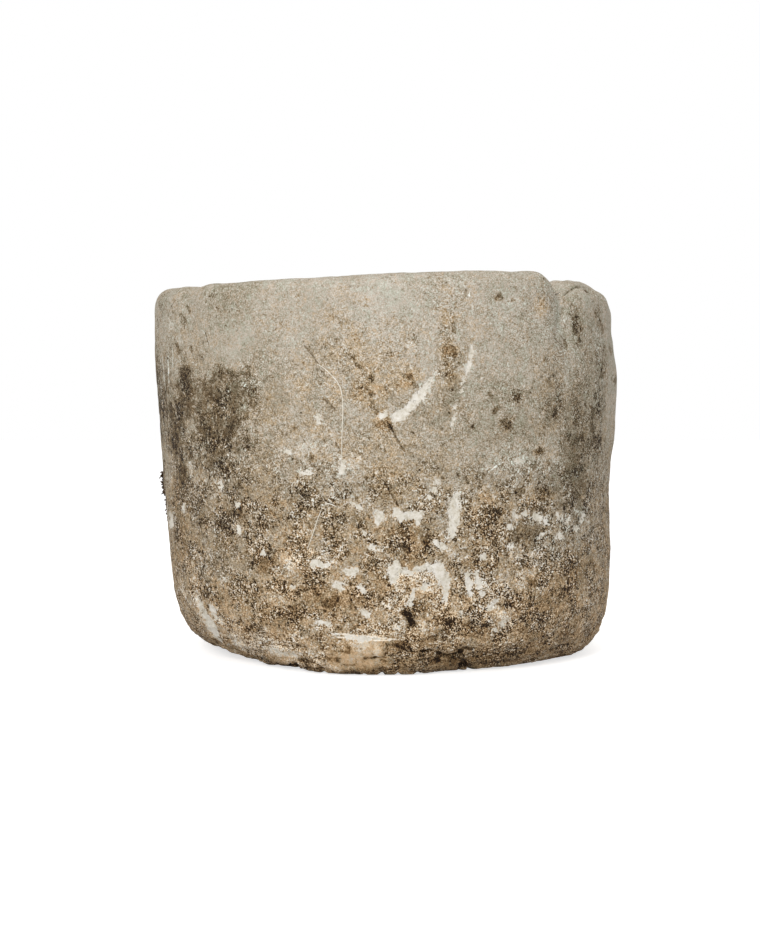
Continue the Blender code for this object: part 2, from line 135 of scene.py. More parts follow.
# Soft patches on the front: place in the photograph, half sizes in mm, turn in degrees, then what they add
# to the stone's tone, contrast and warmth, how many mm they stand out, and how much lichen grows there
FRONT_PATCHES = {
    "left_top": Patch(215, 318, 72, 56, 0, -0.05),
    "left_lichen_core": Patch(212, 412, 38, 38, -30, -0.05, 0.022, 0.1, lichen=0.95),
    "left_lichen_top": Patch(238, 388, 20, 15, 30, 0.0, 0.016, lichen=0.4),
    "left_lichen_edge": Patch(184, 388, 16, 34, 0, -0.07, 0.026, 0.1, lichen=0.7),
    "left_lichen_foot": Patch(207, 454, 34, 26, 10, -0.06, 0.03, 0.1, lichen=0.55),
    "left_lichen_tail": Patch(246, 380, 36, 18, 32, -0.04, 0.016, lichen=0.1),
    "left_lichen_low": Patch(232, 482, 44, 20, 0, -0.08, 0.01, lichen=0.2),
    "left_low_lichen": Patch(222, 510, 40, 18, 8, -0.07, 0.03, lichen=0.25),
    "left_side": Patch(180, 516, 34, 50, 0, -0.11, 0.0, 0.2),
    "left_edge_high": Patch(159, 330, 26, 30, 0, -0.04, 0.036, 0.1),
    "left_edge_middle": Patch(163, 404, 60, 52, 0, -0.16, 0.06, 0.2, lichen=0.55),
    "left_edge_inner": Patch(182, 444, 22, 36, 0, -0.12, 0.03, 0.1, lichen=0.25),
    "left_edge_low": Patch(163, 506, 30, 34, 0, -0.14, 0.045, 0.3, lichen=0.3),
    "left_edge_foot": Patch(180, 534, 18, 26, 0, -0.06, 0.03, 0.1),
    "left_rim_shade": Patch(162, 300, 16, 18, 0, -0.07, 0.02),
    "left_rim_stain": Patch(222, 296, 24, 16, 0, -0.04, 0.006, 0.1),
    "left_tail_light": Patch(234, 340, 26, 14, 0, 0.02, -0.01),
    "lichen_right": Patch(242, 402, 18, 17, 0, -0.05, 0.01, lichen=0.35),
    "lichen_above": Patch(230, 356, 24, 9, 0, 0.02, -0.01, lichen=-0.25),
    "rim_spot": Patch(498, 297, 4.5, 3.5, 0, -0.13, 0.03, 0.6),
    "slab_core": Patch(506, 423, 7, 6, 30, -0.1, 0.02, 0.5),
    "slab_core_high": Patch(516, 397, 5, 6, 0, -0.08, 0.02, 0.4),
    "slab_core_low": Patch(539, 452, 5, 5, 0, -0.08, 0.02, 0.4),
    "crust_clump": Patch(544, 492, 12, 8, 0, -0.05, 0.0, 0.5),
    "crust_tan": Patch(527, 502, 12, 7, 0, 0.04, 0.01, 0.6),
    "slab_low_light": Patch(514, 458, 48, 16, 0, 0.045),
    "slab_mid_shade": Patch(532, 426, 26, 14, 0, -0.04),
    "crust_far_shade": Patch(530, 540, 32, 20, 0, -0.04, 0.0, -0.25),
    "salmon_spot": Patch(542, 308, 11, 12, 0, 0.01, 0.0, 1.00),
    "left_grey": Patch(222, 560, 26, 20, 0, -0.01, -0.034, -0.55),
    "cream_top": Patch(340, 320, 60, 45, 0, 0.03, -0.01),
    "grey_top": Patch(388, 300, 30, 22, 20, 0.01, -0.01, -0.3),
    "cream_left": Patch(300, 428, 36, 34, 20, 0.03, -0.016),
    "tan_upper": Patch(352, 362, 44, 46, 0, -0.02, 0.022, 0.6),
    "tan_high": Patch(384, 326, 44, 26, 0, 0.0, 0.006, 0.2),
    "upper_shade": Patch(318, 346, 22, 9, 0, -0.06, 0.01, 0.1),
    "arrow_shade": Patch(408, 412, 16, 12, 0, -0.05),
    "mid_warm": Patch(385, 466, 34, 30, 0, 0.0, 0.0, 0.45),
    "rust_scar": Patch(407, 380, 13, 10, 20, -0.01, 0.02, 1.6),
    "tan_warm": Patch(368, 388, 15, 13, 0, -0.02, 0.01, 0.5),
    "brown_tip": Patch(385, 424, 10, 7, 0, -0.04, 0.02, 0.8),
    "stain_drip": Patch(446, 340, 9, 34, 4, -0.06, 0.02, 0.4),
    "stain_knot": Patch(452, 352, 8, 9, 0, -0.07, 0.024, 0.8),
    "stain_foot": Patch(447, 374, 10, 12, 0, -0.06, 0.024, 0.5),
    "stain_head": Patch(452, 300, 22, 20, 0, 0.0, 0.014, 0.35),
    "stain_gap": Patch(450, 344, 12, 12, 0, 0.05),
    "grey_slab": Patch(500, 430, 52, 46, 0, -0.02, -0.01, -0.4),
    "grey_slab_low": Patch(566, 486, 26, 24, 0, -0.03, 0.004, -0.4),
    "slab_shade": Patch(552, 388, 20, 26, 0, -0.11, 0.03, 0.1),
    "slab_light": Patch(558, 457, 13, 12, 0, 0.07),
    "slab_light_low": Patch(508, 457, 20, 10, 0, 0.05),
    "slab_shade_mid": Patch(506, 398, 24, 16, 0, -0.04, 0.018, 0.1),
    "right_shade": Patch(590, 400, 34, 120, 0, -0.07, 0.02, -0.15),
    "right_streaks": Patch(556, 322, 46, 40, 0, -0.02, 0.024, -0.1),
    "right_stain_top": Patch(576, 324, 6, 22, 4, -0.09, 0.01, 0.1),
    "lobe_light": Patch(578, 300, 12, 9, 0, 0.05, -0.01),
    "lobe_smooth": Patch(585, 308, 12, 18, 0, 0.02, -0.034),
    "right_smooth": Patch(571, 460, 14, 11, 0, 0.01, -0.034),
    "right_edge": Patch(602, 390, 16, 66, 0, -0.06, 0.03),
    "notch_side": Patch(600, 318, 8, 16, 0, -0.05, 0.01, 0.1),
    "notch_groove": Patch(558, 318, 6, 26, 4, 0.03, 0.0, -0.4),
    "lobe_behind": Patch(569, 286, 12, 6, 0, -0.03, 0.034, 0.1),
    "right_stain_mid": Patch(574, 432, 20, 44, 0, -0.09, 0.01),
    "right_stain_low": Patch(578, 490, 17, 34, 0, -0.15, 0.01, -0.2),
    "right_cool": Patch(566, 520, 40, 24, 0, 0.0, 0.006, -0.4),
    "low_right_grain": Patch(545, 604, 66, 56, 0, 0.0, 0.032),
    "right_foot_grain": Patch(594, 610, 20, 40, 0, 0.0, 0.03, 0.1),
    "crust_left_warm": Patch(250, 520, 60, 40, 0, 0.0, 0.0, 0.25),
    "bow_grain": Patch(340, 490, 22, 15, 0, -0.02, 0.03),
    "low_left_smooth": Patch(362, 566, 22, 18, 0, 0.0, -0.024),
    "scrape_smooth": Patch(362, 622, 20, 12, 0, 0.0, -0.02),
    "ledge_grain": Patch(490, 630, 46, 14, 0, -0.03, 0.034, 0.2),
    "slab_foot": Patch(520, 478, 46, 12, 0, -0.02, 0.02),
    "crust_dark_mid": Patch(404, 536, 26, 16, 0, -0.09, 0.01, 0.2),
    "crust_dark_right": Patch(490, 522, 26, 16, 0, -0.05, 0.014, 0.3),
    "crust_dark_left": Patch(296, 494, 20, 12, 10, -0.09, 0.012),
    "crust_warm_right": Patch(486, 500, 20, 12, 20, 0.02, 0.01, 0.7),
    "crust_mid_band": Patch(330, 600, 60, 16, 0, -0.04, 0.01, 0.2),
    "low_dark_right": Patch(548, 606, 50, 30, 20, -0.05, 0.012, 0.25),
    "low_dark_band": Patch(450, 622, 34, 14, 0, -0.07, 0.02, 0.3),
    "under_right": Patch(500, 656, 90, 12, 8, -0.13, 0.0, 0.2),
    "ledge_block": Patch(448, 647, 15, 7, 0, 0.03, 0.01, 0.1, 4.0),
    "ledge_block_right": Patch(502, 643, 22, 6, 0, 0.02, 0.0, 0.1, 2.5),
    "under_hollow": Patch(480, 656, 28, 5, 4, -0.06, 0.0, 0.1, -4.0),
    "foot_left": Patch(256, 636, 50, 18, -12, 0.08, 0.006, 0.5),
    "foot_left_corner": Patch(204, 620, 16, 18, 0, 0.06, 0.004, 0.2),
    # Painted light: the next two patches lift the tone of the undercut foot at the left, which curves away
    # from the lamps, and also warm its colour
    "foot_left_under_painted_light_and_warmth": Patch(262, 648, 52, 14, -14, 0.17, 0.0, 1.2),
    "foot_left_end_painted_light_and_warmth": Patch(243, 646, 14, 12, -20, 0.3, 0.0, 0.6),
    "crust_light_right": Patch(492, 588, 18, 13, 0, 0.16),
    "crust_light_far": Patch(536, 586, 13, 10, 0, 0.07, 0.0, 0.1),
    "crust_light_middle": Patch(452, 610, 24, 10, 0, 0.12, 0.0, 0.2),
    "low_middle_light": Patch(392, 630, 40, 10, 0, 0.12, 0.0, 0.2),
    "low_left_dark": Patch(267, 560, 14, 14, 0, -0.2, 0.014),
    "arc_shade": Patch(404, 560, 13, 8, 0, -0.09, 0.006, 0.1),
    "arc_foot_shade": Patch(428, 612, 10, 10, 0, -0.09, 0.0, 0.2),
    "ledge_shade": Patch(472, 632, 14, 8, 0, -0.12, 0.0, 0.3),
    "low_right_shade": Patch(550, 606, 26, 12, 0, -0.09, 0.0, 0.1),
    "low_left_light": Patch(290, 562, 11, 9, 0, 0.06),
    "crust_dark_streak": Patch(517, 545, 12, 12, 0, -0.09, 0.01),
    "crust_mid_light": Patch(388, 546, 18, 10, 0, 0.06),
    "crust_mid_shade": Patch(352, 522, 24, 10, 0, -0.08),
    "crust_bow_shade": Patch(430, 526, 9, 9, 0, -0.07),
    "slab_shade_left": Patch(436, 414, 34, 18, 0, -0.05),
    "slab_high_shade": Patch(456, 390, 14, 10, 0, -0.05),
    "left_mid_shade": Patch(268, 400, 22, 20, 0, -0.06),
    "left_low_shade": Patch(276, 522, 18, 10, 0, -0.06),
    "low_right_side": Patch(586, 568, 24, 20, 0, -0.07),
    "edge_shade": Patch(176, 436, 14, 20, 0, -0.09, lichen=0.15),
    "stem_light": Patch(222, 449, 13, 10, 0, 0.08),
    "tail_shade": Patch(254, 444, 18, 12, 0, -0.06),
    "bow_light": Patch(308, 447, 12, 11, 0, 0.1),
    "rootlet_light": Patch(346, 468, 18, 10, 0, 0.08),
    "left_crust_shade": Patch(198, 512, 16, 14, 0, -0.11),
    "left_crust_shade_b": Patch(242, 534, 13, 10, 0, -0.06),
    "foot_shade": Patch(278, 623, 20, 11, 0, -0.1),
    "foot_shade_left": Patch(220, 600, 12, 12, 0, -0.06),
    "foot_shade_mid": Patch(308, 600, 12, 11, 0, -0.06),
    "foot_light_mid": Patch(275, 601, 18, 10, 0, 0.09),
    "foot_shade_far": Patch(530, 624, 20, 9, 0, -0.07, 0.0, 0.2),
    "crust_shade_far": Patch(522, 534, 20, 9, 0, -0.12),
    "crust_light_low": Patch(526, 578, 12, 9, 0, 0.05),
    "crust_light_left": Patch(286, 556, 12, 10, 0, 0.06),
    "arc_shade_low": Patch(418, 602, 12, 9, 0, -0.06),
    "bow_shade": Patch(374, 490, 18, 9, 0, -0.05),
    "right_low_shade": Patch(556, 506, 18, 14, 0, -0.08),
    "foot_shade_right": Patch(512, 602, 30, 10, 0, -0.05),
    "low_right_light": Patch(540, 556, 16, 10, 0, 0.08),
    "crest_shade": Patch(314, 304, 16, 14, 0, -0.05),
    "tan_shade": Patch(354, 337, 16, 9, 0, -0.04),
    "side_light": Patch(597, 337, 10, 12, 0, 0.1),
    "slab_low_shade": Patch(440, 468, 12, 9, 0, -0.05),
    "right_mid_side": Patch(592, 432, 18, 16, 0, -0.06),
    "foot_light_right": Patch(426, 630, 30, 8, 0, 0.06),
    "cream_chips": Patch(428, 588, 30, 20, 0, 0.06, -0.01, 0.3),
    "cream_low_left": Patch(300, 560, 26, 12, 0, 0.05),
    "outline_rim_middle": Patch(384, 277, 38, 14, out=-2.6),
    "outline_notch": Patch(550, 283, 9, 8, out=2.6),
    "outline_lobe_dip": Patch(590, 290, 8, 6, out=-2.4),
    "outline_lobe_edge": Patch(604, 298, 9, 9, out=2.2),
    "outline_right": Patch(614, 396, 30, 42, out=2.2),
    "outline_foot_left": Patch(284, 664, 46, 14, out=3.0),
    "outline_foot_right": Patch(592, 640, 16, 10, out=-3.0),
}

# The same for the undercut foot, where the half sizes are as the photograph shows them
FOOT_PATCHES = {
    "orange_scrape": Patch(366, 655, 20, 13, 0, 0.11, -0.13, 0.75),
    "orange_scrape_left": Patch(342, 663, 13, 7, 0, 0.07, -0.07, 0.4),
    "cream_band": Patch(368, 640, 26, 5, -4, 0.06, -0.07, 0.1),
    "left_wedge": Patch(290, 656, 14, 5, -8, 0.04, -0.06, 0.1),
    "dark_crust": Patch(403, 652, 13, 7, 0, -0.1, 0.02, 0.1),
    "brown_layers": Patch(376, 671, 42, 3.4, 2, -0.12, 0.0, 0.2),
    "brown_layers_right": Patch(440, 661, 26, 4, 4, -0.08, 0.0, 0.1),
    "far_light": Patch(532, 646, 20, 7, 10, 0.06, 0.0, 0.1),
    # Painted light on the undercut left end, with a warmer colour
    "left_end_light": Patch(243, 644, 16, 9, -20, 0.12, 0.0, 0.4),
    "left_pink": Patch(262, 652, 22, 8, -14, -0.02, 0.0, 0.6),
}

# Where the rim sinks or rises: bearing and half width in degrees, and how many mm it rises
RIM_WAVES = {
    "left_corner": (208, 4, -5.0),
    "left_flank": (224, 4, 1.8),
    "notch_shoulder": (309, 4, 2.0),
    "notch_foot": (322, 5, 4.0),
    "right_lobe": (334, 6, -2.0),
}

# Heights over which these waves grow to their full size
RIM_WAVES_FROM = (0.27, 0.365)

# Where the bottom edge is broken away upwards, in the same way, and the heights and radii over which it grows
FOOT_WAVES = {
    "left_corner": (202, 8, 4.0),
}
FOOT_WAVES_FROM = (0.040, 0.0)
FOOT_WAVES_INSIDE = (0.10, 0.15)

# Pale marks where the stone was scraped or chipped to fresh limestone: strokes of (x, y, half width in mm)
FRESH_MARKS = {
    "arrow_scrape": ((435, 375, 0.6), (428, 384, 2.6), (420, 395, 4.4), (410, 406, 3.2), (401, 415, 3.8),
                     (395, 419, 3.6)),
    "arrow_bit": ((381, 416, 2.0), (385, 415, 2.2)),
    "thin_scrape_top": ((472, 345, 0.8), (471, 356, 2.3), (469, 366, 2.2), (465, 377, 1.2), (461, 391, 1.2)),
    "slab_bit_high": ((455, 408, 2.0), (455.5, 413, 1.6)),
    "slab_bit_low": ((453, 420, 1.6), (451.5, 426, 1.8)),
    "rootlet_drop": ((343, 461, 1.4), (342, 468, 2.8), (339, 475, 2.0)),
    "left_chip_high": ((284, 451, 1.8), (288, 452.5, 2.6)),
    "left_chip_mid": ((302, 473, 1.6), (309, 472.5, 2.6)),
    "left_fleck_high": ((318, 416, 1.6), (318.5, 423, 1.9)),
    "mid_fleck_a": ((436.5, 480, 1.5), (434.5, 490, 2.6)),
    "mid_fleck_b": ((430, 497, 2.0),),
    "mid_fleck_c": ((358, 506, 2.4), (360, 508, 2.2)),
    "mid_fleck_d": ((352, 503, 1.8),),
    "mid_fleck_e": ((380, 516, 3.6), (378, 523, 2.6)),
    "mid_fleck_f": ((364, 533, 2.4),),
    "mid_fleck_g": ((371, 547, 2.6), (378, 548, 2.4)),
    "bow_blotch": ((395, 512, 3.2), (402, 518, 3.8), (411, 515, 3.2), (419, 514, 3.4), (418, 522, 2.8)),
    "blade_blotch": ((458, 492, 1.6), (454.5, 501, 4.2), (455, 513, 5.4), (454, 524, 4.8), (452, 534, 3.4)),
    "blade_chip": ((443, 547, 3.4), (436, 543, 2.2)),
    "arc_left": ((396, 565, 4.2), (394, 573, 6.2), (393, 580, 3.4)),
    "arc_link": ((402, 572, 3.0), (411, 572, 2.2)),
    "arc_top": ((416, 569, 2.4), (428, 566, 3.4), (438, 568, 5.2), (443, 576, 5.4), (446, 586, 4.0)),
    "arc_inner": ((430, 584, 2.0), (424, 587, 2.0)),
    "arc_inner_drop": ((414, 590, 1.6), (412, 598, 2.8), (408, 604, 2.4)),
    "arc_side": ((447, 594, 1.8), (443, 602, 2.0)),
    "right_streak_a": ((467, 575, 2.4), (469, 585, 3.2), (471, 594, 2.4)),
    "right_streak_b": ((477, 573, 2.0), (479, 586, 2.6)),
    "right_chip_a": ((483.5, 557, 3.6),),
    "right_chip_b": ((482, 595, 3.0),),
    "right_chip_c": ((510, 547, 3.2),),
    "right_chip_d": ((510, 527, 3.2),),
    "right_chip_e": ((513, 514, 2.1), (518, 517, 1.7)),
    "right_chip_f": ((526, 512, 1.5), (525, 516, 2.2)),
    "right_chip_g": ((535, 515.5, 2.8), (539, 519.5, 3.0)),
    "right_chip_h": ((546.5, 517, 1.7), (547, 523, 1.8)),
    "right_chip_p": ((580, 521, 1.4), (583, 515, 1.7)),
    "right_chip_q": ((541, 535, 2.0), (546, 533, 1.3)),
    "right_chip_r": ((557, 538, 1.5), (561, 535, 1.6)),
    "right_chip_s": ((575, 530, 1.4), (578, 527, 1.1)),
    "right_chip_m": ((558, 513, 1.0), (559.5, 519, 1.4)),
    "right_chip_n": ((566.5, 523, 1.4), (569, 518, 1.4)),
    "right_chip_o": ((460, 613, 1.2), (463, 616, 1.2)),
    "right_chip_i": ((516, 460, 2.4), (520, 461.5, 2.4)),
    "right_chip_j": ((508, 620, 1.8), (503, 624, 2.8)),
    "right_chip_k": ((496, 630.5, 1.8),),
    "right_chip_l": ((498, 600, 1.6), (489, 609, 2.0)),
    "low_left_a": ((315, 564, 4.0), (322, 565, 2.8), (327, 566, 1.8)),
    "low_left_b": ((337, 585, 4.0), (341, 588, 2.6)),
    "low_left_c": ((292, 587, 2.4),),
    "low_left_d": ((262, 549, 2.0), (263, 554, 2.0)),
    "low_left_e": ((274, 570, 2.2),),
    "low_left_f": ((346, 571, 3.0), (352, 572, 3.2), (357, 571, 2.0)),
    "low_left_g": ((318, 622, 2.2), (330, 624, 2.4)),
    "low_left_h": ((360, 588, 3.2), (364, 591, 2.4)),
    "low_mid_a": ((363, 611, 2.6), (367, 615, 3.6)),
    "left_fleck_a": ((219.5, 483, 2.0), (221, 487, 1.8)),
    "left_fleck_b": ((182.5, 504, 1.0), (183, 511, 1.5)),
    "left_fleck_c": ((170.5, 513, 1.6), (172, 525, 2.4)),
    "left_fleck_d": ((238, 505, 2.4),),
    "left_fleck_e": ((238, 525, 2.0), (239, 532, 1.9)),
    "foot_left_scrape": ((197, 597, 0.8), (201, 606, 2.2), (205, 615, 3.2), (210, 625, 3.8), (216, 635, 2.4),
                         (221, 643, 0.8)),
    "foot_left_bit": ((210, 606, 2.0), (214, 612, 2.6)),
    "foot_left_crumb": ((217, 618.5, 1.6),),
    "foot_ledge": ((272, 649.5, 0.7), (279, 651.5, 1.2), (286, 653.5, 1.3), (293, 653, 1.2),
                   (300, 653.5, 0.8)),
    "scrape_fan": ((336, 635, 0.6), (348, 637.5, 2.0), (366, 639, 1.8), (382, 640, 0.8)),
}

# Older marks, half grown over again
FAINT_MARKS = {
    "soft_patch_a": ((288, 565, 5.0), (297, 558, 5.0)),
    "soft_patch_b": ((385, 609, 4.0), (394, 608, 3.0)),
    "soft_patch_c": ((402, 620, 3.2), (396, 627, 3.0)),
    "soft_patch_d": ((422, 625, 4.5),),
    "soft_patch_e": ((517, 575, 4.5), (524, 584, 3.0)),
    "soft_patch_f": ((552, 540, 1.6), (562, 534, 2.0)),
    "soft_patch_i": ((545, 544, 1.4),),
    "soft_patch_g": ((575, 509, 1.8), (577, 515, 1.4)),
    "soft_patch_j": ((582, 514, 1.6), (585, 520, 1.8)),
    "soft_patch_h": ((400, 577, 8.0), (430, 583, 9.0)),
    "arc_foot": ((396, 586, 3.0), (406, 597, 4.0), (400, 606, 3.0)),
    "arc_foot_right": ((440, 592, 4.0), (436, 604, 4.0), (430, 614, 3.0)),
    "low_mid_soft": ((380, 606, 3.0), (392, 600, 3.0)),
    "base_wash": ((350, 646, 2.0), (360, 648, 3.4), (368, 643, 3.0)),
    "base_wash_b": ((376, 645, 2.4), (379, 652, 3.0), (376, 658, 2.0)),
    "base_wash_c": ((333, 669, 1.6), (341, 669, 2.0)),
    "foot_wedge": ((290, 660, 1.6), (297, 657, 2.2)),
    "right_soft_a": ((468, 586, 6.0), (480, 582, 5.0)),
    "right_soft_b": ((492, 606, 5.0), (506, 618, 4.5)),
    "right_soft_c": ((512, 558, 4.0), (520, 549, 4.0)),
    "right_soft_d": ((458, 560, 4.0), (450, 552, 4.0)),
    "left_soft_a": ((322, 552, 4.0), (332, 562, 4.0)),
    "left_soft_b": ((344, 580, 5.0), (356, 590, 4.0)),
    "left_soft_c": ((262, 540, 3.0), (252, 552, 3.0)),
    "left_soft_d": ((296, 540, 3.0), (304, 532, 3.0)),
    "scar_line": ((484, 471, 0.9), (488, 467, 1.2)),
    "foot_left": ((193, 580, 1.6), (195, 592, 2.6), (199, 605, 2.0)),
    "foot_left_b": ((180, 584, 1.4), (185, 593, 2.4), (190, 603, 1.4)),
    "foot_patch_b": ((316, 661, 3.4), (335, 668, 2.4)),
    "lichen_gap_a": ((209, 407, 3.2),),
    "lichen_gap_b": ((214, 430, 1.8),),
    "lichen_gap_c": ((190, 466, 3.2), (189, 474, 2.6)),
    "lichen_gap_d": ((250, 386, 1.8), (261, 384, 2.2)),
    "lichen_gap_e": ((246, 411, 1.2), (256, 410, 1.6)),
    "grey_fleck_a": ((556, 556, 2.6),),
    "grey_fleck_b": ((542, 415, 2.4),),
    "rim_left_pale": ((170, 321, 1.8), (173, 327, 1.8)),
    "rim_left_dot": ((181, 341, 1.0),),
}

# Dark growths and stains: strokes of (x, y, half width in mm)
DARK_MARKS = {
    "rim_spot": ((494.5, 296, 0.9), (496, 299, 1.3)),
    "rim_spot_b": ((499.5, 295, 1.0), (500.5, 299, 1.6)),
    "rust_core": ((406, 375, 2.0), (411, 378, 2.2)),
    "rust_tail": ((414, 384, 1.1), (418, 391, 1.5)),
    "tan_spots": ((368, 374, 1.4), (371, 380, 2.0)),
    "tan_spots_low": ((362, 388, 1.2), (368, 391, 2.0), (373, 395, 2.0)),
    "tan_tail": ((370, 400, 0.9), (372, 404, 1.0), (376, 413, 1.3)),
    "tan_line": ((349, 352, 0.8), (354, 361, 1.2), (361, 367, 0.7)),
    "brown_tip": ((389, 423, 1.4), (391, 428, 1.2)),
    "upper_dash": ((388, 351, 0.9), (391, 356, 1.2)),
    "upper_dot": ((411, 333, 1.2), (416, 341, 1.6)),
    "stain_knot": ((452, 348, 2.6), (455, 355, 2.4)),
    "stain_dots": ((453, 325, 2.0), (456, 333, 1.4)),
    "slab_growth": ((503, 420, 2.6), (507, 426, 3.6)),
    "slab_growth_b": ((515, 432, 1.8), (519, 434, 1.6)),
    "slab_growth_c": ((494, 412, 2.4), (498, 407, 1.6)),
    "slab_growth_d": ((541, 450, 3.2), (538, 454, 1.6)),
    "slab_growth_e": ((535, 465, 2.0),),
    "slab_growth_f": ((549, 463, 2.4),),
    "slab_growth_g": ((514, 395, 2.4), (518, 398, 2.6)),
    "slab_growth_h": ((489, 394, 1.8),),
    "slab_growth_i": ((554, 411, 2.0), (556, 418, 1.4)),
    "crust_clump": ((517, 490, 2.4), (523, 492, 2.8)),
    "crust_clump_b": ((538, 493, 2.0), (547, 491, 2.2)),
    "notch_stain_a": ((573.5, 306, 0.7), (574.5, 313, 1.0)),
    "notch_stain_b": ((575.5, 318, 1.6), (577, 327, 1.7), (575.5, 336, 1.3)),
    "notch_stain_c": ((565, 340, 0.8), (565.5, 346, 1.0)),
    "notch_stain_d": ((577, 338, 1.1), (580, 343, 1.1)),
    "notch_side_a": ((597.5, 307, 0.6), (598, 317, 1.0), (603, 326, 1.3), (602, 332, 0.8)),
    "rim_left_a": ((187, 307, 0.5), (190, 312, 0.9)),
    "rim_left_b": ((181, 313, 0.4), (184, 321, 0.9), (185, 328, 0.5)),
    "rim_left_c": ((176, 344, 0.7), (180, 352, 1.1)),
    "rim_left_d": ((190, 347, 0.6), (192, 353, 0.9)),
    "rim_left_e": ((208, 297, 0.4), (214, 294, 0.8)),
    "side_moss": ((592.5, 430, 1.2), (593.5, 440, 1.8), (596, 447, 2.2)),
    "side_moss_b": ((598.5, 431, 1.1), (598, 441, 1.7), (596, 447, 1.6)),
    "side_dark": ((592, 408, 1.6), (592, 430, 2.0)),
    "side_growth": ((575, 442, 1.6), (582, 437, 1.4)),
    "side_streak": ((576, 398, 0.9), (577, 414, 1.3), (576, 426, 0.9)),
    "edge_streak_a": ((595, 396, 0.8), (597, 412, 1.2)),
    "edge_streak_b": ((602, 362, 0.8), (602, 378, 1.2)),
    "edge_streak_c": ((613.5, 376, 0.6), (613.5, 384, 0.8)),
    "edge_streak_d": ((609, 345, 0.7), (612, 352, 0.9)),
    "crust_growth_a": ((518, 494, 3.6), (524, 489, 2.8)),
    "crust_growth_b": ((541, 493, 3.4), (546, 491, 2.6)),
    "crust_growth_c": ((494, 514, 4.2), (489, 516, 2.6)),
    "crust_growth_d": ((428, 538, 4.0), (426, 548, 2.6)),
    "crust_growth_e": ((407, 549, 3.4), (402, 546, 2.0)),
    "ledge_hole": ((408, 613, 4.0), (412, 622, 4.2), (411, 628, 2.6)),
    "round_growth": ((450, 624, 4.6),),
    "left_growth_a": ((303, 490, 3.0), (307, 497, 3.6)),
    "left_growth_b": ((230, 516, 5.0), (240, 512, 4.0), (222, 524, 3.4)),
    "left_growth_c": ((202, 424, 2.0), (210, 433, 3.2), (217, 443, 3.4), (213, 452, 2.6)),
    "left_growth_d": ((186, 371, 3.4), (187, 382, 3.8), (189, 392, 3.0)),
    "left_growth_e": ((194, 434, 2.6), (194, 440, 2.2)),
    "left_growth_f": ((221, 466, 3.2), (226, 470, 2.2)),
    "left_growth_g": ((247, 414, 2.2), (240, 421, 3.4), (230, 431, 3.6), (220, 441, 3.4)),
    "left_growth_l": ((205, 391, 2.4), (213, 397, 3.0), (222, 404, 2.8)),
    "left_growth_m": ((214, 379, 2.2), (220, 373, 2.2)),
    "left_growth_n": ((216, 410, 1.8), (215, 420, 1.4)),
    "left_growth_o": ((240.5, 343, 0.9), (241, 350, 1.2)),
    "left_growth_p": ((201, 357, 1.3), (202.5, 362, 1.2)),
    "left_growth_q": ((230, 375, 1.4), (243, 373, 1.7), (254, 377, 1.2)),
    "left_growth_h": ((155.5, 358, 1.4), (156, 372, 2.2), (157, 384, 1.6)),
    "left_growth_i": ((160, 398, 1.0), (162, 412, 1.8)),
    "left_growth_j": ((171, 402, 1.0), (173, 420, 1.5)),
    "left_growth_k": ((158, 420, 1.2), (160, 436, 1.7)),
    "foot_growth_a": ((246, 630, 1.4), (251, 626, 1.8), (257, 627, 1.4)),
    "foot_growth_b": ((207, 588, 2.2), (209, 594, 2.4)),
    "foot_growth_e": ((216.5, 587, 1.4),),
    "foot_growth_f": ((201, 600.5, 1.3),),
    "foot_growth_g": ((279, 614, 1.4), (287, 613, 1.8), (295, 612, 1.2)),
    "foot_growth_c": ((294, 611, 4.6), (302, 609, 3.0)),
    "foot_growth_d": ((335, 600, 3.6), (327, 604, 3.4)),
    "under_growth": ((404, 646, 4.6), (398, 644, 3.0)),
    "low_growth_a": ((530, 582, 4.4), (535, 586, 3.0)),
    "low_growth_b": ((570, 564, 4.0), (566, 572, 3.0)),
    "low_growth_c": ((590, 565, 1.6), (592, 563, 1.8)),
    "low_growth_d": ((566, 590, 3.6), (560, 594, 3.0)),
}

# The same kinds scattered over the sides and the back: how many, the lowest, highest and most usual height,
# and the smallest and largest half width in mm
SCATTER_SEED = 23
SCATTER_BEARINGS = (-8, 185)
SCATTER_LOWEST = 0.012
SCATTER_HIGHEST = 0.36
CLUSTER_SIZES = (1, 2, 4, 7)
CLUSTER_DEGREES = 5
CLUSTER_HEIGHT = 0.018
STROKE_POINTS = (1, 2, 2, 3, 4)
Marks = namedtuple("Marks", "drawn scattered heights halves")
MARKS = {
    "fresh": Marks(FRESH_MARKS, 80, (0.02, 0.30, 0.09), (1.0, 5.0)),
    "faint": Marks(FAINT_MARKS, 60, (0.02, 0.34, 0.12), (1.6, 8.0)),
    "dark": Marks(DARK_MARKS, 140, (0.02, 0.36, 0.20), (0.9, 3.6)),
}

